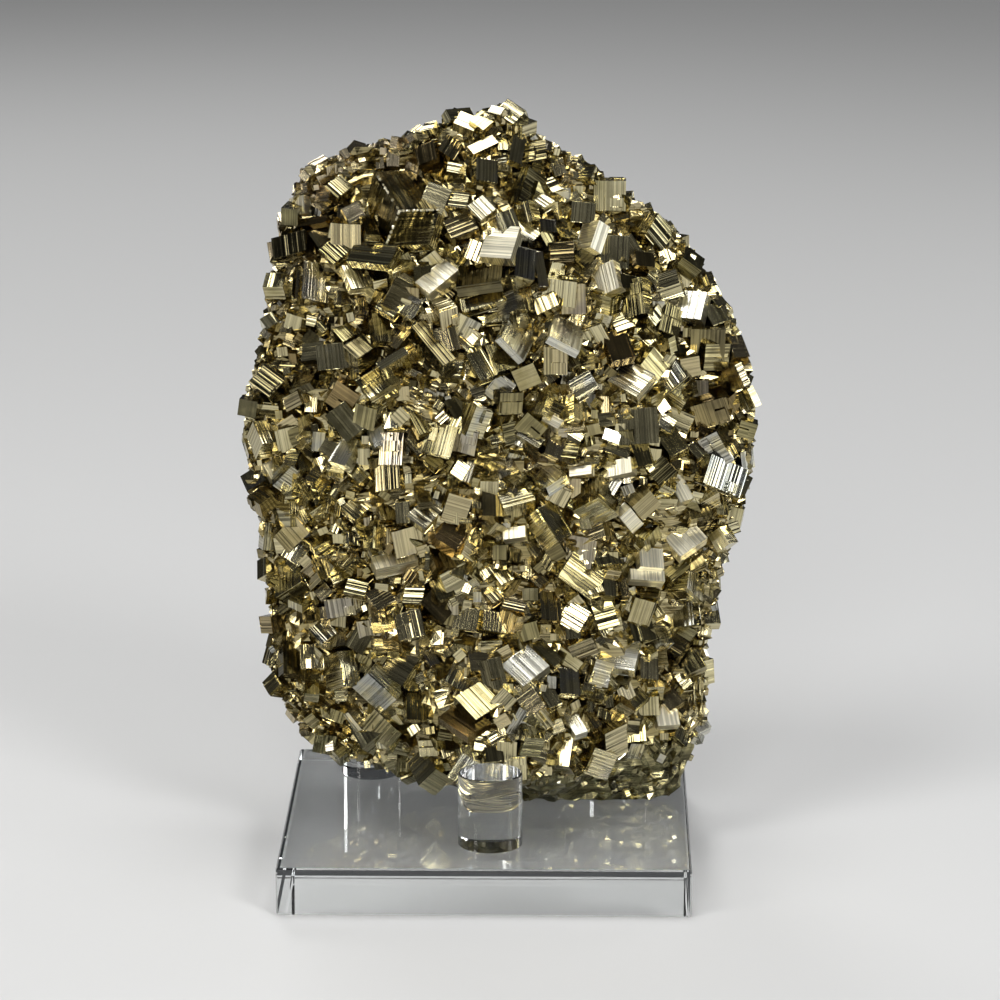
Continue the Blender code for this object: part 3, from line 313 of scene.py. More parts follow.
# --- Form of the specimen ---
def rim_radius(angle):
    """Distance from the heart to the outline in one direction."""
    ray = Vector((math.cos(angle), math.sin(angle)))
    heart = Vector(HEART)
    reach = 0.0
    for here, there in zip(OUTLINE, OUTLINE[1:] + OUTLINE[:1]):
        start = Vector(here) - heart
        edge = Vector(there) - Vector(here)
        cross = turn(ray, edge)
        if abs(cross) < PARALLEL:
            continue
        along_ray = turn(start, edge) / cross
        along_edge = turn(start, ray) / cross
        if along_ray > 0.0 and -TINY <= along_edge <= 1.0 + TINY:
            reach = max(reach, along_ray)
    return reach


def from_heart(angle, radius):
    """The (u, v) of a place at this angle and distance from the heart."""
    return HEART[0] + math.cos(angle) * radius, HEART[1] + math.sin(angle) * radius


def radial_share(u, v):
    """0 at the heart, 1 on the outline."""
    offset = Vector((u - HEART[0], v - HEART[1]))
    if offset.length < TINY:
        return 0.0
    return offset.length / rim_radius(math.atan2(offset.y, offset.x))


def front_level(u, v):
    """How far the tips of the crystals stand out of the face plane."""
    level = FACE_CROWN - FACE_DROP * min(radial_share(u, v), SHARE_MOST) ** FALL_POWER
    foot = math.hypot(u - FOOT_BULGE_AT[0], v - FOOT_BULGE_AT[1]) / FOOT_BULGE_REACH
    return level + FOOT_BULGE * math.exp(-foot * foot)


def body_mesh(rng):
    """The massive part: rings around the heart, front to back."""
    bm = bmesh.new()
    angles = [2.0 * math.pi * k / BODY_SECTORS for k in range(BODY_SECTORS)]
    radii = [rim_radius(angle) for angle in angles]
    rows = []
    for share, level in [(share, None) for share in FRONT_RINGS] + [(RIM_RING, RIM_LEVEL)] + list(BACK_RINGS):
        row = []
        for angle, radius in zip(angles, radii):
            u = HEART[0] + math.cos(angle) * radius * share
            v = HEART[1] + math.sin(angle) * radius * share
            w = front_level(u, v) - BODY_SINK if level is None else level
            w += rng.uniform(-BODY_ROUGHNESS, BODY_ROUGHNESS)
            v -= FOOT_PRESS * max(1.0 - v / FOOT_FLAT, 0.0)
            row.append(bm.verts.new(from_face(u, v, w)))
        rows.append(row)
    front = bm.verts.new(from_face(*HEART, front_level(*HEART) - BODY_SINK))
    back = bm.verts.new(from_face(*HEART, BACK_LEVEL))
    for k in range(BODY_SECTORS):
        after = (k + 1) % BODY_SECTORS
        bm.faces.new((front, rows[0][k], rows[0][after]))
        bm.faces.new((back, rows[-1][after], rows[-1][k]))
        for inner, outer in zip(rows, rows[1:]):
            bm.faces.new((inner[k], outer[k], outer[after], inner[after]))
    bmesh.ops.triangulate(bm, faces=bm.faces[:])
    bmesh.ops.recalc_face_normals(bm, faces=bm.faces[:])
    return bm


# --- Crystals ---
def block_edges(ends):
    """Three square edges, in sight axes, from their ends as they are seen."""
    lengths = [math.hypot(*end) for end in ends]
    ways = [(end[0] / length, end[1] / length) for end, length in zip(ends, lengths)]
    facing = []
    for k in range(3):
        one, two = ways[(k + 1) % 3], ways[(k + 2) % 3]
        facing.append(max(-(one[0] * two[0] + one[1] * two[1]), SLANT_FLOOR))
    frame = np.zeros((3, 3))
    for k in range(3):
        slant = math.sqrt(facing[(k + 1) % 3] * facing[(k + 2) % 3] / facing[k])
        frame[k] = (ways[k][0], ways[k][1], -min(slant, SLANT_CAP))
        frame[k] /= np.linalg.norm(frame[k])
    left, _, right = np.linalg.svd(frame)
    square = left @ right
    edges = []
    for k in range(3):
        seen = max(math.hypot(square[k][0], square[k][1]), SEEN_FLOOR)
        size = min(max(lengths[k] / seen, EDGE_RANGE[0]), EDGE_RANGE[1])
        edges.append([size * value for value in square[k]])
    return edges


def charted_crystals():
    """Near corner and three edges of each charted crystal, in the world."""
    crystals = []
    for row in CRYSTALS:
        a, b, *ends = (value / TENTHS for value in row)
        seen = block_edges([ends[k:k + 2] for k in (0, 2, 4)])
        depth = max(-edge[2] for edge in seen)
        reach = -sum(edge[2] for edge in seen)
        lift = min(depth + TIP_CLEARANCE, (1.0 - ROOT_SHARE) * reach)
        lift = min(max(lift, LIFT_RANGE[0]), LIFT_RANGE[1])
        height = 0.0
        for _ in range(LEVEL_STEPS):
            u, v, w = to_face(from_chart(a, b, height))
            height += (front_level(u, v) - BODY_SINK + lift - w) / SIGHT_BACK.dot(FACE_OUT)
        corner = from_chart(a, b, height)
        edges = [SIGHT_RIGHT * e[0] + SIGHT_UP * e[1] + SIGHT_BACK * e[2] for e in seen]
        crystals.append((corner, edges))
    return crystals


def random_way(rng):
    return Vector((rng.gauss(0, 1), rng.gauss(0, 1), rng.gauss(0, 1)))


def random_frame(rng):
    """Three square unit vectors."""
    axis = random_way(rng).normalized()
    return Matrix.Rotation(rng.uniform(0.0, 2.0 * math.pi), 3, axis)


def diagonal(edges):
    """From a block's near corner to its far one."""
    return edges[0] + edges[1] + edges[2]


def block_at(centre, sizes, frame):
    """Corner and edges of a block around its centre."""
    edges = [frame.col[k] * sizes[k] for k in range(3)]
    return centre - diagonal(edges) * 0.5, edges


def on_bare_foot(u, v):
    """Whether a place is on the stretch of bare matrix at the foot."""
    return u > BARE_FROM and v < BARE_LEVEL + BARE_RISE * u


class Chart:
    """Where the charted crystals lie, so that others don't grow in front of them."""

    def __init__(self, margin):
        columns = np.array(CRYSTALS).T / TENTHS
        edges = [columns[k:k + 2] for k in (2, 4, 6)]
        self.corners = np.hstack([columns[:2]] * 3)
        self.ones = np.hstack(edges)
        self.twos = np.hstack(edges[1:] + edges[:1])
        self.cross = turn(self.ones, self.twos)
        self.margins = [margin / np.maximum(np.hypot(*side), 1.0) for side in (self.ones, self.twos)]

    def covers(self, point):
        """Whether a world point is seen inside a charted crystal."""
        offset = point - VIEW_CENTRE
        scale = 1.0 - offset.dot(SIGHT_BACK) / VIEW_DISTANCE
        gap = np.array([[offset.dot(SIGHT_RIGHT)], [offset.dot(SIGHT_UP)]]) / scale - self.corners
        shares = turn(gap, self.twos) / self.cross, turn(self.ones, gap) / self.cross
        inside = [(share > -margin) & (share < 1.0 + margin) for share, margin in zip(shares, self.margins)]
        return bool((inside[0] & inside[1]).any())


def fill_crystals(rng, taken):
    """Small crystals between the charted ones."""
    chart = Chart(FILL_MARGIN)
    crystals = []
    tries = 0
    while len(crystals) < FILL_COUNT and tries < FILL_TRIES:
        tries += 1
        angle = rng.uniform(0.0, 2.0 * math.pi)
        share = math.sqrt(rng.uniform(0.0, FILL_AREA))
        u, v = from_heart(angle, rim_radius(angle) * share)
        if on_bare_foot(u, v):
            continue
        place = from_face(u, v, front_level(u, v) - FILL_SINK)
        if any((place - other).length < FILL_SPACING for other in taken) or chart.covers(place):
            continue
        taken.append(place)
        sizes = [rng.uniform(*FILL_SIZES) for _ in range(3)]
        crystals.append(block_at(place, sizes, random_frame(rng)))
    return crystals


def rim_crystals(rng):
    """Crystals around the edge, a little behind the outline."""
    crystals = []
    for k in range(RIM_COUNT):
        angle = 2.0 * math.pi * (k + rng.uniform(-RIM_STRAY, RIM_STRAY)) / RIM_COUNT
        size = rng.uniform(*RIM_SIZES)
        u, v = from_heart(angle, rim_radius(angle) - RIM_INSET * size)
        v = max(v, RIM_FLOOR * size)
        sizes = [size * rng.uniform(*RIM_SHAPES) for _ in range(3)]
        place = from_face(u, v, RIM_LEVEL + rng.uniform(*RIM_LEVELS))
        block = block_at(place, sizes, random_frame(rng))
        if not on_bare_foot(u, v):
            crystals.append(block)
    return crystals


def back_blocks(rng):
    """Low blocky lumps over the back of the matrix."""
    blocks = []
    for k in range(BACK_COUNT):
        share = math.sqrt((k + 0.5) / BACK_COUNT) * BACK_REACH
        angle = k * GOLDEN_ANGLE
        size = rng.uniform(*BACK_SIZES)
        sizes = [size * rng.uniform(*BACK_SHAPES) for _ in range(2)] + [BACK_THICKNESS]
        tilt = Matrix.Rotation(rng.gauss(0.0, BACK_TILT), 3, "X")
        tilt @= Matrix.Rotation(rng.gauss(0.0, BACK_TILT), 3, "Y")
        face = Matrix((Vector((1.0, 0.0, 0.0)), FACE_UP, FACE_OUT)).transposed()
        frame = face @ tilt @ Matrix.Rotation(rng.uniform(0.0, math.pi), 3, "Z")
        u, v = from_heart(angle, rim_radius(angle) * share)
        v = max(v, BACK_FLOOR * size)
        sunk = BACK_LEVEL + BACK_RISE + BACK_RIM_RISE * share ** 4
        blocks.append(block_at(from_face(u, v, sunk), sizes, frame))
    return blocks


PEGS = [
    ("front_peg", PEG_AXIS_X, -PEG_ROW_Y, FRONT_PEG_HEIGHT),
    ("back_left_peg", PEG_AXIS_X - PEG_SPREAD, PEG_ROW_Y, BACK_PEG_HEIGHT),
    ("back_right_peg", PEG_AXIS_X + PEG_SPREAD, PEG_ROW_Y, BACK_PEG_HEIGHT),
]


# --- Finer crystals, which only the looks need ---
LOOK_SEED = 23
STRIA_PITCH = 0.6  # mean spacing of the striations
LARGE_PITCH = 0.42  # on the charted crystals
FINE_PITCH = 1.05  # on the fine ones
PARTINGS = (0.3, 0.45, 0.8, 1.3, 2.1)  # single spacings as shares of the mean
PARTING_SPREAD = (0.8, 1.2)
LAST_PARTING = 0.4  # least share of the mean that is left at the end
STRIA_SLOPE = (0.03, 0.20)  # slopes of their flanks
STRIA_STRENGTH = (0.4, 1.0)
RIM_STRIP = 0.10  # the striations end this far inside an edge
RIM_STRIP_MOST = 0.3  # but at most at this share of a side
UV_SPREAD = 900  # each crystal takes its lines from another place
UV_STEP = 40.0  # and so does each of its faces
KEY_DIGITS = 5
SLAB_LEAST = 4.2  # crystals from this size on carry parallel slabs
SLAB_COUNTS = (0, 1, 1, 2)
SLAB_STARTS = ((0.0, 0.0, 0.35, 0.5), (0.0, 0.0, 0.4, 0.55))
SLAB_SPANS = (0.35, 0.3)
SLAB_PROUD = (0.25, 0.7)
SLAB_INSET = 0.06
SLAB_ROOT = 0.4
SLAB_MARGIN = 1.2 * SLAB_INSET
FILL_TIERS = [  # count, size range, least spacing, stand-out as a share of size
    (330, (5.2, 9.6), 4.4, -0.14),
    (800, (3.0, 5.4), 2.8, 0.0),
    (1500, (1.6, 3.0), 1.6, 0.14),
]
GRID_CELL = 8.2
TRIES_EACH = 14
PROPORTIONS = (0.62, 1.12)
TURNED_BACK = -0.25
RIM_SHARE = 0.9  # beyond this share of the outline the crystals are smaller
RIM_SHRINK = 0.6
LARGE_SPAN = 12.0  # faces with longer sides than this keep finer crystals off
COVER_MARGIN = 0.16  # finer crystals keep this share of their size away from a charted one
FOOT_SIZE = 2.0  # only crystals from tiers under this size grow on the bare foot
FOOT_SPARSE = 0.35
FOOT_FACETS = 1100
BACK_TURN = -14.0  # crystals deeper than this look out to the back
BACK_SPARSE = 0.35  # share of the fine crystals that the back keeps
# tone, tarnish, strength of the striations, and satin finish with painted cream highlight
# The dusky and dark looks are painted shade. The silver one is a painted grey reflection with painted
# highlight. The bright and light ones are painted cream highlight. Gilt is plain brass and reddish is real
# tarnish.
PAINTED_SHADE_CUBE, PAINTED_SHADE, REDDISH = (0.05, 0.1, 0.65, 0.0), (0.0, 0.1, 0.9, 0.0), (0.25, 1.0, 0.3, 0.0)
GILT, PAINTED_SILVER_SHEEN, PAINTED_HIGHLIGHT = (0.45, 0.2, 1.0, 0.0), (1.0, 0.0, 0.5, 0.6), (0.75, 0.0, 0.6, 1.0)
PAINTED_SOFT_HIGHLIGHT = (0.7, 0.1, 1.0, 0.4)
CRUST = (-18.0, 138.0)  # left of this u and above this v the rim has a tarnished crust
CRUST_SHARE = 0.84
# Fully tarnished and a little satin, which blends in some of the painted cream highlight.
CRUST_LOOK = (0.5, 1.0, 0.5, 0.3)
MARKS = [  # crystals whose tone stands out, by their near corner; most of these tones paint light or shade
    (PAINTED_SHADE_CUBE, [(-252, 724)]),  # the big cube, painted dark as shade
    (PAINTED_SHADE, [(-542, -432), (-578, 258), (2, 549), (-142, 337), (-484, 626), (-358, 354), (516, 390),
        (-476, 294)]),
    (PAINTED_HIGHLIGHT, [(-489, 718), (26, 604), (226, 633), (299, 532), (452, -142), (352, -166), (328, -198),
        (300, -44), (-176, 517), (330, 712), (-310, -174), (64, -92), (396, -566), (452, -6), (-573, 53),
        (229, 66), (330, 70), (144, 178)]),
    (PAINTED_SILVER_SHEEN, [(57, -467), (502, 452), (2, 408), (124, 411), (336, -428), (-314, 132), (-389, 86),
        (496, -584), (189, -589)]),
    (GILT, [(-176, 640)]),
    (PAINTED_SOFT_HIGHLIGHT, [(-372, 529), (-49, 700), (110, 732), (342, 259), (-380, -532), (-189, -74)]),
    (REDDISH, [(-80, -594), (-110, -126), (-436, 696), (282, 346)]),
]
MARKED_LOOKS = {corner: look for look, corners in MARKS for corner in corners}
SET_BACK = {(-378, 750): 6.0}  # crystals that lie behind a neighbour, and how far
CHIPPED_SIZE = 6.5  # crystals from this size on have worn edges
CHIP_STEP = 0.45
CHIP_SIZES = (0.25, 0.6)
CHIP_SHARE = 0.6
FACET_COUNT = 3200
FACET_TILT = 0.30
FACET_STEP = 0.6
FACET_STRETCH = 1.7  # facets are wider than high
FACET_LOOK = (0.45, 0.6)  # their tarnish and strength of lines
FACET_TONES = (0.3, 0.4)  # least tone and spread
FOOT_TONE = 0.55
RARITY = 3  # power that makes the painted glints of light facets, and tarnished crystals, rare
TARNISH_SHARE = 0.8
TONE_POWER = 0.8
BACK_SHADE_DEPTH = 0.35  # painted shade over the whole back, as a depth
SHADE_START = 1.0  # painted shade in the hollows starts this far over the tips
SHADE_SPAN = 8.0  # down to this depth
SIDE_PULL = 0.4  # how far crystals at the rim look outward, in front
BACK_SIDE_PULL = 1.5  # and on the back
RIM_PULL_POWER = 4
BODY_CUTS = 8


def add_object(name, data):
    """A new object in the scene."""
    made = bpy.data.objects.new(name, data)
    bpy.context.scene.collection.objects.link(made)
    return made


class Heap:
    """Vertices, faces and finish values gathered into one mesh."""

    def __init__(self):
        self.spots = []
        self.faces = []
        self.coords = []
        self.looks = []

    def add_face(self, indices, coords):
        self.faces.append(indices)
        self.coords.extend(coords)

    def build(self, name, finish):
        mesh = bpy.data.meshes.new(name)
        mesh.from_pydata([keep_clear(spot) * MM for spot in self.spots], [], self.faces)
        layer = mesh.uv_layers.new(name="striae")
        layer.data.foreach_set("uv", np.array(self.coords, dtype=np.float32).ravel())
        look = mesh.attributes.new("look", "FLOAT_COLOR", "POINT")
        look.data.foreach_set("color", np.array(self.looks, dtype=np.float32).ravel())
        mesh.materials.append(finish)
        return add_object(name, mesh)


def keep_clear(spot):
    """Holds a point above the plate and outside the pegs."""
    kept = Vector(spot)
    kept.z = max(kept.z, FOOT_Z)
    for _, x, y, height in PEGS:
        if kept.z > PLATE_THICKNESS + height + CONTACT_GAP:
            continue
        offset = Vector((kept.x - x, kept.y - y))
        clearance = 0.5 * PEG_DIAMETER + CONTACT_GAP
        if offset.length < clearance:
            offset *= clearance / max(offset.length, TINY)
            kept.x, kept.y = x + offset.x, y + offset.y
    return kept


def shade_depth(spot):
    """Depth for the painted shade: 0 at the crystals' tips, 1 deep between them."""
    u, v, w = to_face(spot)
    if w < RIM_LEVEL:
        return BACK_SHADE_DEPTH
    return min(max((front_level(u, v) + SHADE_START - w) / SHADE_SPAN, 0.0), 1.0)


def stations(rng, length, pitch):
    """Places from 0 to 1 where the striations of one face part."""
    spots = [0.0]
    while True:
        step = pitch * rng.choice(PARTINGS) * rng.uniform(*PARTING_SPREAD) / length
        if spots[-1] + step > 1.0 - LAST_PARTING * pitch / length:
            return spots + [1.0]
        spots.append(spots[-1] + step)


def relief(rng, places, length, strength):
    """How far each parting of a striated face lies under the flat face."""
    depths = [0.0]
    rising = rng.random() < 0.5
    for here, there in zip(places, places[1:]):
        slope = rng.uniform(*STRIA_SLOPE) * strength * (1.0 if rising else -1.0)
        depths.append(max(depths[-1] + slope * (there - here) * length, 0.0))
        rising = not rising
    depths[-1] = 0.0
    return depths


def add_block(heap, corner, edges, rng, look, pitch):
    """A closed crystal whose three near faces are striated, each square to the next."""
    lengths = [edge.length for edge in edges]
    inward = [edge.normalized() for edge in edges]
    forward = edges[0].cross(edges[1]).dot(edges[2]) > 0.0
    shift = (rng.uniform(0, UV_SPREAD), rng.uniform(0, UV_SPREAD))
    known = {}
    places = [stations(rng, length, pitch) for length in lengths]

    def spot(place, sink=None):
        key = tuple(round(value, KEY_DIGITS) for value in place)
        if key not in known:
            point = corner.copy()
            for k in range(3):
                point += edges[k] * place[k]
            if sink:
                point += inward[sink[0]] * sink[1]
            known[key] = len(heap.spots)
            heap.spots.append(point)
            # The third channel is the depth of the painted hollow shade, or below zero the painted cream
            # highlight of a satin crystal.
            depth = -look[3] if look[3] else shade_depth(point)
            heap.looks.append((look[0], look[1], depth, look[2]))
        return known[key]

    def polygon(axes, level, marks, sinks=None):
        a, b, c = axes
        indices = []
        coords = []
        for n, (along, across) in enumerate(marks):
            place = [0, 0, 0]
            place[a], place[b], place[c] = along, across, level
            indices.append(spot(place, (c, sinks[n]) if sinks and sinks[n] else None))
            coords.append((along * lengths[a] + shift[0] + UV_STEP * c, across * lengths[b] + shift[1]))
        if forward != (level > 0):
            indices.reverse()
            coords.reverse()
        heap.add_face(indices, coords)

    for c in range(3):
        a, b = (c + 1) % 3, (c + 2) % 3
        axes = (a, b, c)
        across = places[b]
        depths = relief(rng, across, lengths[b], look[2])
        near = min(RIM_STRIP / lengths[a], RIM_STRIP_MOST)
        far = 1.0 - near
        marks = [(t, 0) for t in places[a]]
        if len(across) < 3:
            polygon(axes, 0, marks + [(1, 1), (0, 1)])
            continue
        low, d0 = across[1], depths[1]
        sinks = [0] * len(marks) + [0, d0, d0, 0]
        polygon(axes, 0, marks + [(1, low), (far, low), (near, low), (0, low)], sinks)
        for high, d1 in zip(across[2:-1], depths[2:-1]):
            polygon(axes, 0, [(0, low), (near, low), (near, high), (0, high)], [0, d0, d1, 0])
            polygon(axes, 0, [(near, low), (far, low), (far, high), (near, high)], [d0, d0, d1, d1])
            polygon(axes, 0, [(far, low), (1, low), (1, high), (far, high)], [d0, 0, 0, d1])
            low, d0 = high, d1
        marks = [(0, low), (near, low), (far, low), (1, low), (1, 1), (0, 1)]
        polygon(axes, 0, marks, [0, d0, d0, 0, 0, 0])
    for m in range(3):
        a, b = (m + 1) % 3, (m + 2) % 3
        polygon((a, b, m), 1, [(1, 0), (1, 1), (0, 1)] + [(t, 0) for t in places[a][:-1]])


def add_crystal(heap, corner, edges, rng, look, pitch):
    """A crystal, with parallel slabs grown on the larger ones."""
    add_block(heap, corner, edges, rng, look, pitch)
    if min(edge.length for edge in edges) < SLAB_LEAST:
        return
    for _ in range(rng.choice(SLAB_COUNTS)):
        c = rng.randrange(3)
        sides = ((c + 1) % 3, (c + 2) % 3)
        starts = [rng.choice(choices) for choices in SLAB_STARTS]
        spans = [rng.uniform(least, 1.0 - start) for least, start in zip(SLAB_SPANS, starts)]
        proud = rng.uniform(*SLAB_PROUD)
        a, b = sides
        moved = corner + edges[a] * (starts[0] + SLAB_INSET) + edges[b] * (starts[1] + SLAB_INSET)
        moved -= edges[c].normalized() * proud
        slab = list(edges)
        for side, span in zip(sides, spans):
            slab[side] = edges[side] * (span - SLAB_MARGIN)
        slab[c] = edges[c].normalized() * (proud + SLAB_ROOT)
        add_block(heap, moved, slab, rng, look, pitch)


def add_chips(heap, corner, edges, rng):
    """Grains along the worn edges that meet at the near corner, coloured with the painted cream highlight."""
    for edge in edges:
        steps = int(edge.length / CHIP_STEP)
        for k in range(steps):
            if rng.random() > CHIP_SHARE:
                continue
            sizes = [rng.uniform(*CHIP_SIZES) for _ in range(3)]
            place = corner + edge * ((k + rng.random()) / steps)
            chip, sides = block_at(place, sizes, random_frame(rng))
            add_block(heap, chip, sides, rng, PAINTED_HIGHLIGHT, LARGE_PITCH)


def crystal_look(rng, row=None):
    """Tone, tarnish, strength of the striations and satin finish with painted highlight of one crystal."""
    look = (rng.random() ** TONE_POWER, TARNISH_SHARE * rng.random() ** RARITY,
            rng.uniform(*STRIA_STRENGTH), 0.0)
    return MARKED_LOOKS.get(row[:2], look) if row else look


class Spacing:
    """Keeps places apart with a grid of cells."""

    def __init__(self, cell):
        self.cell = cell
        self.cells = {}

    def key(self, point):
        return tuple(int(math.floor(value / self.cell)) for value in point)

    def add(self, point):
        self.cells.setdefault(self.key(point), []).append(point)

    def free(self, point, reach):
        x, y, z = self.key(point)
        for i, j, k in itertools.product((-1, 0, 1), repeat=3):
            for other in self.cells.get((x + i, y + j, z + k), ()):
                if (other - point).length < reach:
                    return False
        return True


def surface_samples(bm, rng, count):
    """Points and normals spread over the body by area."""
    faces = list(bm.faces)
    areas = np.cumsum([face.calc_area() for face in faces])
    samples = []
    for _ in range(count):
        face = faces[min(int(np.searchsorted(areas, rng.random() * areas[-1])), len(faces) - 1)]
        p, q, r = [vert.co for vert in face.verts]
        s, t = math.sqrt(rng.random()), rng.random()
        samples.append((p * (1.0 - s) + q * (s * (1.0 - t)) + r * (s * t), face.normal.copy()))
    return samples


def fine_crystals(body, rng, placed):
    """Crystals of falling size that fill what the larger ones leave."""
    crystals = []
    for count, sizes, spacing, stand_out in FILL_TIERS:
        chart = Chart(COVER_MARGIN * sizes[0])
        grid = Spacing(GRID_CELL)
        for spot in placed:
            grid.add(spot)
        grown = 0
        for point, normal in surface_samples(body, rng, count * TRIES_EACH):
            if grown == count:
                break
            if normal.dot(FACE_OUT) < TURNED_BACK and rng.random() > BACK_SPARSE:
                continue
            size = rng.uniform(*sizes)
            u, v, _ = to_face(point)
            if radial_share(u, v) > RIM_SHARE:
                size *= RIM_SHRINK
            if on_bare_foot(u, v) and (sizes[0] > FOOT_SIZE or rng.random() > FOOT_SPARSE):
                continue
            centre = point + normal * (size * stand_out)
            if (keep_clear(centre) - centre).length > 0.0 or not grid.free(centre, spacing):
                continue
            if normal.dot(SIGHT_BACK) > 0.0 and chart.covers(centre):
                continue
            grid.add(centre)
            placed.append(centre)
            trio = [size * rng.uniform(*PROPORTIONS) for _ in range(3)]
            crystals.append(block_at(centre, trio, random_frame(rng)))
            grown += 1
    return crystals


def toward_outside(corner, edges):
    """Starts the block at its corner nearest the open side, so that its striated faces show."""
    centre = corner + diagonal(edges) * 0.5
    u, v, w = to_face(centre)
    radial = Vector((u - HEART[0], 0.0, v - HEART[1])).normalized() * radial_share(u, v) ** RIM_PULL_POWER
    outward = SIGHT_BACK + radial * SIDE_PULL if w > BACK_TURN else radial * BACK_SIDE_PULL - FACE_OUT
    start = sum((edge for edge in edges if edge.dot(outward) > 0.0), corner)
    return start, [-edge if edge.dot(outward) > 0.0 else edge for edge in edges]


def faceted_body(bm, rng, finish):
    """The massive pyrite between and behind the crystals, broken into small flat facets."""
    bmesh.ops.subdivide_edges(bm, edges=bm.edges[:], cuts=BODY_CUTS, use_grid_fill=True)
    bm.normal_update()
    verts = list(bm.verts)
    seeds = [rng.choice(verts).co.copy() for _ in range(FACET_COUNT)]
    foot = [vert for vert in verts if on_bare_foot(*to_face(vert.co)[:2])]
    seeds += [rng.choice(foot).co.copy() for _ in range(FOOT_FACETS)]
    stretch = Vector((1.0, 1.0, FACET_STRETCH))
    tree = KDTree(len(seeds))
    for n, seed in enumerate(seeds):
        tree.insert(seed * stretch, n)
    tree.balance()
    tilts = [(random_way(rng) * FACET_TILT, rng.uniform(-FACET_STEP, FACET_STEP)) for _ in seeds]
    # A random tone per facet, whose light facets are painted glints.
    tones = [rng.random() ** RARITY for _ in seeds]
    glints = []
    for vert in bm.verts:
        _, n, _ = tree.find(vert.co * stretch)
        glints.append(tones[n])
        tilt, step = tilts[n]
        vert.co += vert.normal * ((vert.co - seeds[n]).dot(tilt) + step)
    bmesh.ops.triangulate(bm, faces=bm.faces[:])
    heap = Heap()
    tarnish, lines = FACET_LOOK
    least, spread = FACET_TONES
    bm.verts.index_update()
    for vert, glint in zip(bm.verts, glints):
        heap.spots.append(vert.co.copy())
        if on_bare_foot(*to_face(vert.co)[:2]):
            heap.looks.append((FOOT_TONE * glint, 0.0, 0.0, lines))
        else:
            heap.looks.append((least + spread * glint, tarnish, shade_depth(vert.co), lines))
    for face in bm.faces:
        heap.add_face([vert.index for vert in face.verts], [(vert.co.x, vert.co.z) for vert in face.verts])
    bm.free()
    return heap.build("massive_pyrite", finish)


# --- Materials ---
# Random tones spread over the whole ramp. The marked dark crystals take its dark end as painted shade, and
# the marked silver ones take its grey end as a painted grey reflection.
TONE_STOPS = [(0.0, (0.12, 0.108, 0.06)), (0.3, (0.38, 0.34, 0.17)), (0.6, (0.73, 0.665, 0.41)),
              (0.85, (0.73, 0.665, 0.41)), (1.0, (0.46, 0.47, 0.43))]     # dark, brass, steel grey
TARNISH = (0.26, 0.14, 0.06)
# Painted shade in the hollows, browner and warmer to stand for light bounced between the crystals.
HOLLOW_SHADE = (0.31, 0.25, 0.10)
HOLLOW_SHADE_MOST = 0.5  # share of the painted hollow shade in the deepest of them
PATCH_SCALE = 160.0  # patches of tone and tarnish
PATCH_DETAIL = 4.0
PATCH_RANGE = (0.3, 0.7)
TONE_DRIFT = 0.16
SATIN_ROUGHNESS = 0.22  # added where a crystal is satin, which also gets the painted cream highlight
# Painted highlight: a cream colour blended into satin crystals so that they read as bright faces.
HIGHLIGHT_CREAM = (0.96, 0.91, 0.74)
HIGHLIGHT_CREAM_MOST = 0.7
LINE_SCALE = (0.008, 1.9, 1.0)  # lines run along the striations and part across them
LINE_DETAIL = 1.0
LINE_ROUGHNESS = 0.6
LINE_RANGE = (0.38, 0.56)
GROOVE_SHADE = 0.35  # how dark the lines between striations are
LINE_DEPTH = 0.0001
PYRITES = {  # height of the lines and range of roughness
    "pyrite_large": (0.8, (0.09, 0.19)),
    "pyrite_fine": (0.7, (0.10, 0.22)),
    "pyrite_massive": (0.5, (0.10, 0.26)),
}
ACRYLIC_IOR = 1.49
ACRYLIC_TINT = (0.985, 0.995, 0.995, 1.0)
ACRYLIC_DEPTHS = (0.86, 0.95, 0.93, 1.0)
ACRYLIC_DENSITY = 1.2
MARK_SCALE = 55.0
MARK_DETAIL = 5.0
MARK_RANGE = (0.45, 0.8)
MARK_ROUGHNESS = (0.0, 0.05)
UNIT_RANGE = (0.0, 1.0)


class Nodes:
    """One material and short ways to add nodes to it."""

    def __init__(self, name):
        self.material = bpy.data.materials.new(name)
        self.material.use_nodes = True
        self.tree = self.material.node_tree
        self.shader = self.tree.nodes["Principled BSDF"]

    def feed(self, node, **inputs):
        """Sets or links inputs, each by its name in small letters or its number after an underscore."""
        for name, value in inputs.items():
            socket = node.inputs[int(name[1:]) if name[0] == "_" else name.replace("_", " ").title()]
            if isinstance(value, bpy.types.NodeSocket):
                self.tree.links.new(value, socket)
            else:
                socket.default_value = value

    def add(self, kind, settings=None, **inputs):
        node = self.tree.nodes.new("ShaderNode" + kind)
        for name, value in (settings or {}).items():
            setattr(node, name, value)
        self.feed(node, **inputs)
        return node

    def compute(self, operation, *values, clamp=False):
        node = self.add("Math", {"operation": operation, "use_clamp": clamp},
                        **{f"_{n}": value for n, value in enumerate(values)})
        return node.outputs[0]

    def carry(self, value, source, target):
        """A value taken from one range over to another."""
        node = self.add("MapRange", value=value, from_min=source[0], from_max=source[1],
                        to_min=target[0], to_max=target[1])
        return node.outputs["Result"]

    def blend(self, factor, one, color):
        node = self.add("Mix", {"data_type": "RGBA"}, factor=factor, a=one, b=(*color, 1.0))
        return node.outputs["Result"]

    def ramp(self, value, stops):
        node = self.add("ValToRGB")
        elements = node.color_ramp.elements
        for place, color in stops[1:-1]:
            elements.new(place).color = (*color, 1.0)
        for end in (0, -1):
            elements[end].position = stops[end][0]
            elements[end].color = (*stops[end][1], 1.0)
        self.tree.links.new(value, node.inputs[0])
        return node.outputs["Color"]


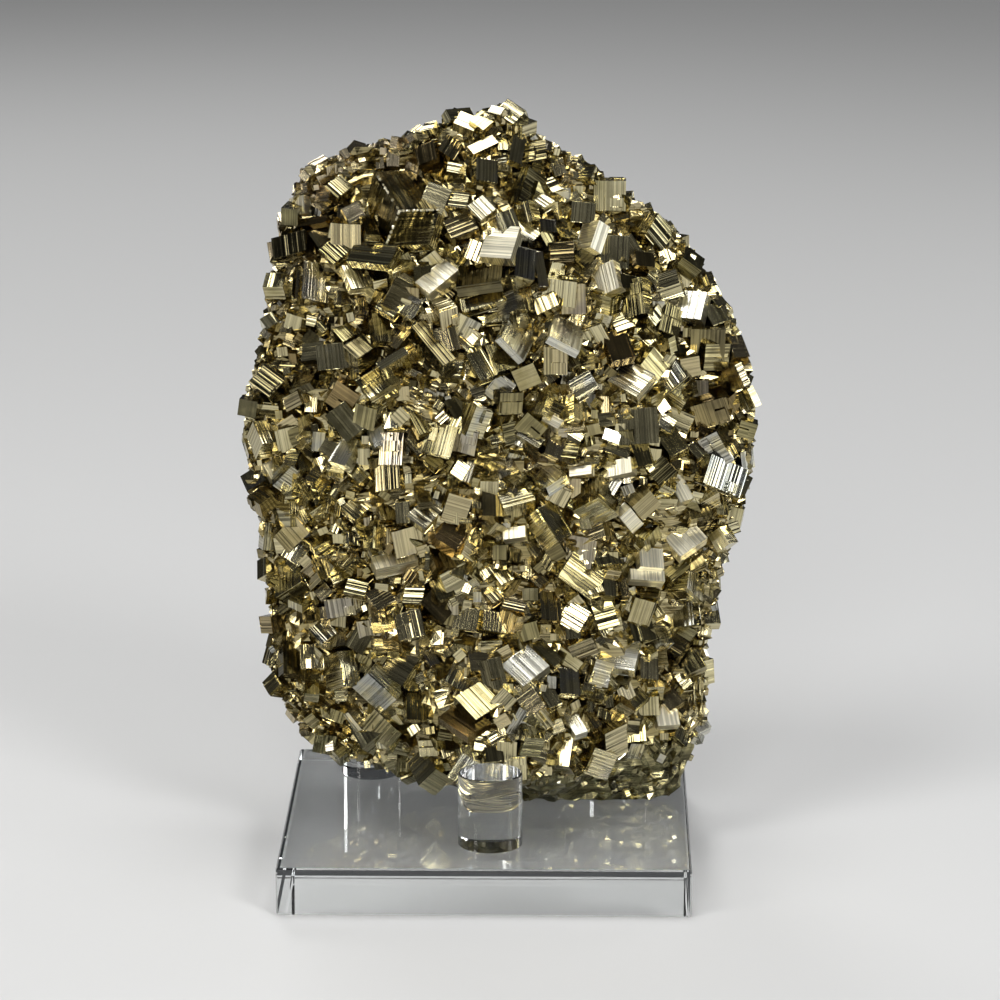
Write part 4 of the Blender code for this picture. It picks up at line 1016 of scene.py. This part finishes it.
def pyrite_material(name):
    """Brassy metal with fine striations, patchy tarnish, painted shade in the hollows and painted cream
    highlight on satin crystals.
    """
    stria_bump, roughness = PYRITES[name]
    sheet = Nodes(name)
    look = sheet.add("Attribute", {"attribute_name": "look"})
    strength = look.outputs["Alpha"]
    own_tone, tarnish, depth = sheet.add("SeparateColor", color=look.outputs["Color"]).outputs[:3]
    place = sheet.add("TexCoord").outputs["Object"]
    patches = sheet.add("TexNoise", vector=place, scale=PATCH_SCALE, detail=PATCH_DETAIL).outputs["Fac"]

    drift = sheet.carry(patches, PATCH_RANGE, (-TONE_DRIFT, TONE_DRIFT))
    color = sheet.ramp(sheet.compute("ADD", own_tone, drift, clamp=True), TONE_STOPS)
    color = sheet.blend(sheet.compute("MULTIPLY", patches, tarnish), color, TARNISH)
    # Painted shade: the hollow colour blended in by depth.
    color = sheet.blend(sheet.compute("MULTIPLY", depth, HOLLOW_SHADE_MOST), color, HOLLOW_SHADE)
    # Satin crystals carry a negative third channel, which adds roughness and blends in the painted cream
    # highlight.
    satin_and_highlight = sheet.carry(depth, (0.0, -1.0), UNIT_RANGE)
    color = sheet.blend(sheet.compute("MULTIPLY", satin_and_highlight, HIGHLIGHT_CREAM_MOST), color, HIGHLIGHT_CREAM)

    striae = sheet.add("UVMap", {"uv_map": "striae"}).outputs["UV"]
    along = sheet.add("Mapping", vector=striae, scale=LINE_SCALE).outputs["Vector"]
    lines = sheet.add("TexNoise", {"noise_dimensions": "2D"}, vector=along, scale=1.0,
                      detail=LINE_DETAIL, roughness=LINE_ROUGHNESS).outputs["Fac"]
    shade = sheet.carry(strength, UNIT_RANGE, (1.0, GROOVE_SHADE))
    groove = sheet.carry(lines, LINE_RANGE, (shade, 1.0))
    lined = sheet.add("VectorMath", {"operation": "SCALE"}, _0=color, scale=groove).outputs["Vector"]
    bump = sheet.add("Bump", distance=LINE_DEPTH, height=lines,
                     strength=sheet.compute("MULTIPLY", strength, stria_bump)).outputs["Normal"]

    rough = sheet.carry(patches, UNIT_RANGE, roughness)
    finish = sheet.compute("MULTIPLY_ADD", satin_and_highlight, SATIN_ROUGHNESS, rough)
    sheet.feed(sheet.shader, base_color=lined, normal=bump, roughness=finish, metallic=1.0)
    return sheet.material


def acrylic_material():
    """Clear polished acrylic with the faintest handling marks."""
    sheet = Nodes("clear_acrylic_looks")
    place = sheet.add("TexCoord").outputs["Object"]
    marks = sheet.add("TexNoise", vector=place, scale=MARK_SCALE, detail=MARK_DETAIL).outputs["Fac"]
    rough = sheet.carry(marks, MARK_RANGE, MARK_ROUGHNESS)
    sheet.feed(sheet.shader, transmission_weight=1.0, base_color=ACRYLIC_TINT, roughness=rough)
    sheet.shader.inputs["IOR"].default_value = ACRYLIC_IOR
    body = sheet.add("VolumeAbsorption", color=ACRYLIC_DEPTHS, density=ACRYLIC_DENSITY)
    sheet.feed(sheet.tree.nodes["Material Output"], volume=body.outputs["Volume"])
    return sheet.material


# --- Pieces ---
COVER_CORE = 0.45  # share of the edges from the near corner to where a crystal keeps others off
PEG_ROUND = 96
PEG_FOOT_GAP = 0.04
PEG_EDGE = 0.25
SMOOTH_UNDER = math.radians(30.0)


def finish_piece(piece, slot, *nodes):
    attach(piece, "root")
    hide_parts(*nodes)


def make_specimen():
    """The cluster: charted crystals, finer ones between them, and the massive body."""
    part_rng = random.Random(FILL_SEED)
    body = body_mesh(part_rng)
    charted = charted_crystals()
    taken = [corner + diagonal(edges) * CORE for corner, edges in charted]
    others = fill_crystals(part_rng, taken)
    others += rim_crystals(part_rng)
    others += back_blocks(part_rng)
    rng = random.Random(LOOK_SEED)
    large = Heap()
    for row, (corner, edges) in zip(CRYSTALS, charted):
        corner = corner - SIGHT_BACK * SET_BACK.get(row[:2], 0.0)
        add_crystal(large, corner, edges, rng, crystal_look(rng, row), LARGE_PITCH)
        if min(edge.length for edge in edges) > CHIPPED_SIZE:
            add_chips(large, corner, edges, rng)
    for corner, edges in others:
        add_crystal(large, *toward_outside(corner, edges), rng, crystal_look(rng), STRIA_PITCH)
    placed = []
    for corner, edges in charted + others:
        placed.append(corner + diagonal(edges) * COVER_CORE)
        for one, two in ((0, 1), (1, 2), (2, 0)):
            if (edges[one].length + edges[two].length) > LARGE_SPAN:
                placed.append(corner + (edges[one] + edges[two]) * 0.5)
    small = Heap()
    for corner, edges in fine_crystals(body, rng, placed):
        look = crystal_look(rng)
        u, v, _ = to_face(corner)
        if u < CRUST[0] and v > CRUST[1] and radial_share(u, v) > CRUST_SHARE:
            look = CRUST_LOOK
        add_crystal(small, *toward_outside(corner, edges), rng, look, FINE_PITCH)
    pieces = [
        large.build("charted_crystals", pyrite_material("pyrite_large")),
        small.build("fine_crystals", pyrite_material("pyrite_fine")),
        faceted_body(body, rng, pyrite_material("pyrite_massive")),
    ]
    for piece in pieces:
        finish_piece(piece, "pyrite", "pyrite_cluster")


def make_pegs(finish):
    """Round rods with softly broken edges."""
    for name, x, y, height in PEGS:
        bm = bmesh.new()
        bottom = PLATE_THICKNESS + PEG_FOOT_GAP
        top = PLATE_THICKNESS + height
        radius = 0.5 * PEG_DIAMETER
        bmesh.ops.create_cone(bm, cap_ends=True, segments=PEG_ROUND, radius1=radius, radius2=radius,
                              depth=top - bottom)
        bmesh.ops.translate(bm, vec=(x, y, 0.5 * (top + bottom)), verts=bm.verts[:])
        rims = [edge for edge in bm.edges if any(len(face.verts) > 4 for face in edge.link_faces)]
        bmesh.ops.bevel(bm, geom=rims, offset=PEG_EDGE, segments=1, affect="EDGES")
        bmesh.ops.scale(bm, vec=(MM, MM, MM), verts=bm.verts[:])
        mesh = bpy.data.meshes.new(name + "_rod")
        bm.to_mesh(mesh)
        bm.free()
        mesh.shade_smooth()
        mesh.set_sharp_from_angle(angle=SMOOTH_UNDER)
        mesh.materials.append(finish)
        finish_piece(add_object(name + "_rod", mesh), "clear_acrylic", name)


# --- Studio ---
LENS_MM = 168.55
SENSOR_MM = 36.0
FAR_CLIP = 50.0
FLOOR_HALF = 6.0
FLOOR_DROP = 0.0002
FLOOR_ROUGHNESS = 0.55
FLOOR_COLOR = (0.60, 0.60, 0.595, 1.0)
WORLD_COLOR = (0.60, 0.62, 0.65, 1.0)
WORLD_STRENGTH = 0.075
SUN_PLACE = Vector((-0.9, -1.0, 1.5))
SUN_POWER = 1.0
SUN_SPREAD = math.radians(22.0)
AIM = Vector((0.0, 0.0, 0.10))
WHITE = (1.0, 1.0, 1.0)
LIGHTS = [  # name, place, size, power, colour
    ("key", (0.75, -1.0, 0.85), (0.42, 0.42), 10.0, WHITE),
    ("left", (-0.95, -0.75, 0.35), (0.3, 0.6), 3.8, (1.0, 0.97, 0.92)),
    ("top", (0.05, 0.10, 1.10), (0.6, 0.4), 5.0, WHITE),
    ("right", (1.0, -0.25, 0.25), (0.28, 0.5), 2.0, (0.93, 0.96, 1.0)),
    ("front", (-0.1, -1.3, 0.75), (0.36, 0.26), 6.2, WHITE),
    ("back", (-0.4, 1.2, 0.85), (0.5, 0.4), 4.0, WHITE),
    ("back_right", (0.9, 0.8, 0.3), (0.3, 0.5), 2.5, WHITE),
]


def make_camera():
    data = bpy.data.cameras.new("camera")
    data.lens = LENS_MM
    data.sensor_width = SENSOR_MM
    data.clip_end = FAR_CLIP
    camera = add_object("camera", data)
    turn = Matrix((SIGHT_RIGHT, SIGHT_UP, SIGHT_BACK)).transposed().to_4x4()
    camera.matrix_world = Matrix.Translation((VIEW_CENTRE + SIGHT_BACK * VIEW_DISTANCE) * MM) @ turn
    bpy.context.scene.camera = camera


def make_floor():
    """Pale floor."""
    mesh = bpy.data.meshes.new("floor")
    half = FLOOR_HALF
    mesh.from_pydata([(-half, -half, 0), (half, -half, 0), (half, half, 0), (-half, half, 0)], [],
                     [(0, 1, 2, 3)])
    sheet = Nodes("pale_floor")
    sheet.feed(sheet.shader, base_color=FLOOR_COLOR, roughness=FLOOR_ROUGHNESS)
    mesh.materials.append(sheet.material)
    floor = add_object("floor", mesh)
    floor.location.z = -FLOOR_DROP


def make_lights():
    """Dim even surroundings, a broad sun that also reaches the floor far behind, and soft lights."""
    world = bpy.data.worlds.new("studio")
    world.use_nodes = True
    surroundings = world.node_tree.nodes["Background"].inputs
    surroundings["Color"].default_value = WORLD_COLOR
    surroundings["Strength"].default_value = WORLD_STRENGTH
    bpy.context.scene.world = world
    data = bpy.data.lights.new("broad", "SUN")
    data.energy = SUN_POWER
    data.angle = SUN_SPREAD
    add_object("broad", data).rotation_euler = facing(-SUN_PLACE)
    for name, place, size, power, color in LIGHTS:
        data = bpy.data.lights.new(name, "AREA")
        data.shape = "RECTANGLE"
        data.size, data.size_y = size
        data.energy = power
        data.color = color
        light = add_object(name, data)
        light.location = place
        light.rotation_euler = facing(AIM - Vector(place))
    bpy.context.scene.view_settings.view_transform = "Standard"


def facing(way):
    """Turn that points a light along a direction."""
    return way.to_track_quat("-Z", "Y").to_euler()


make_camera()
make_specimen()
clear = acrylic_material()
make_pegs(clear)
for holder in frame["nodes"]["base_plate"].material_slots:
    holder.material = clear
make_floor()
make_lights()
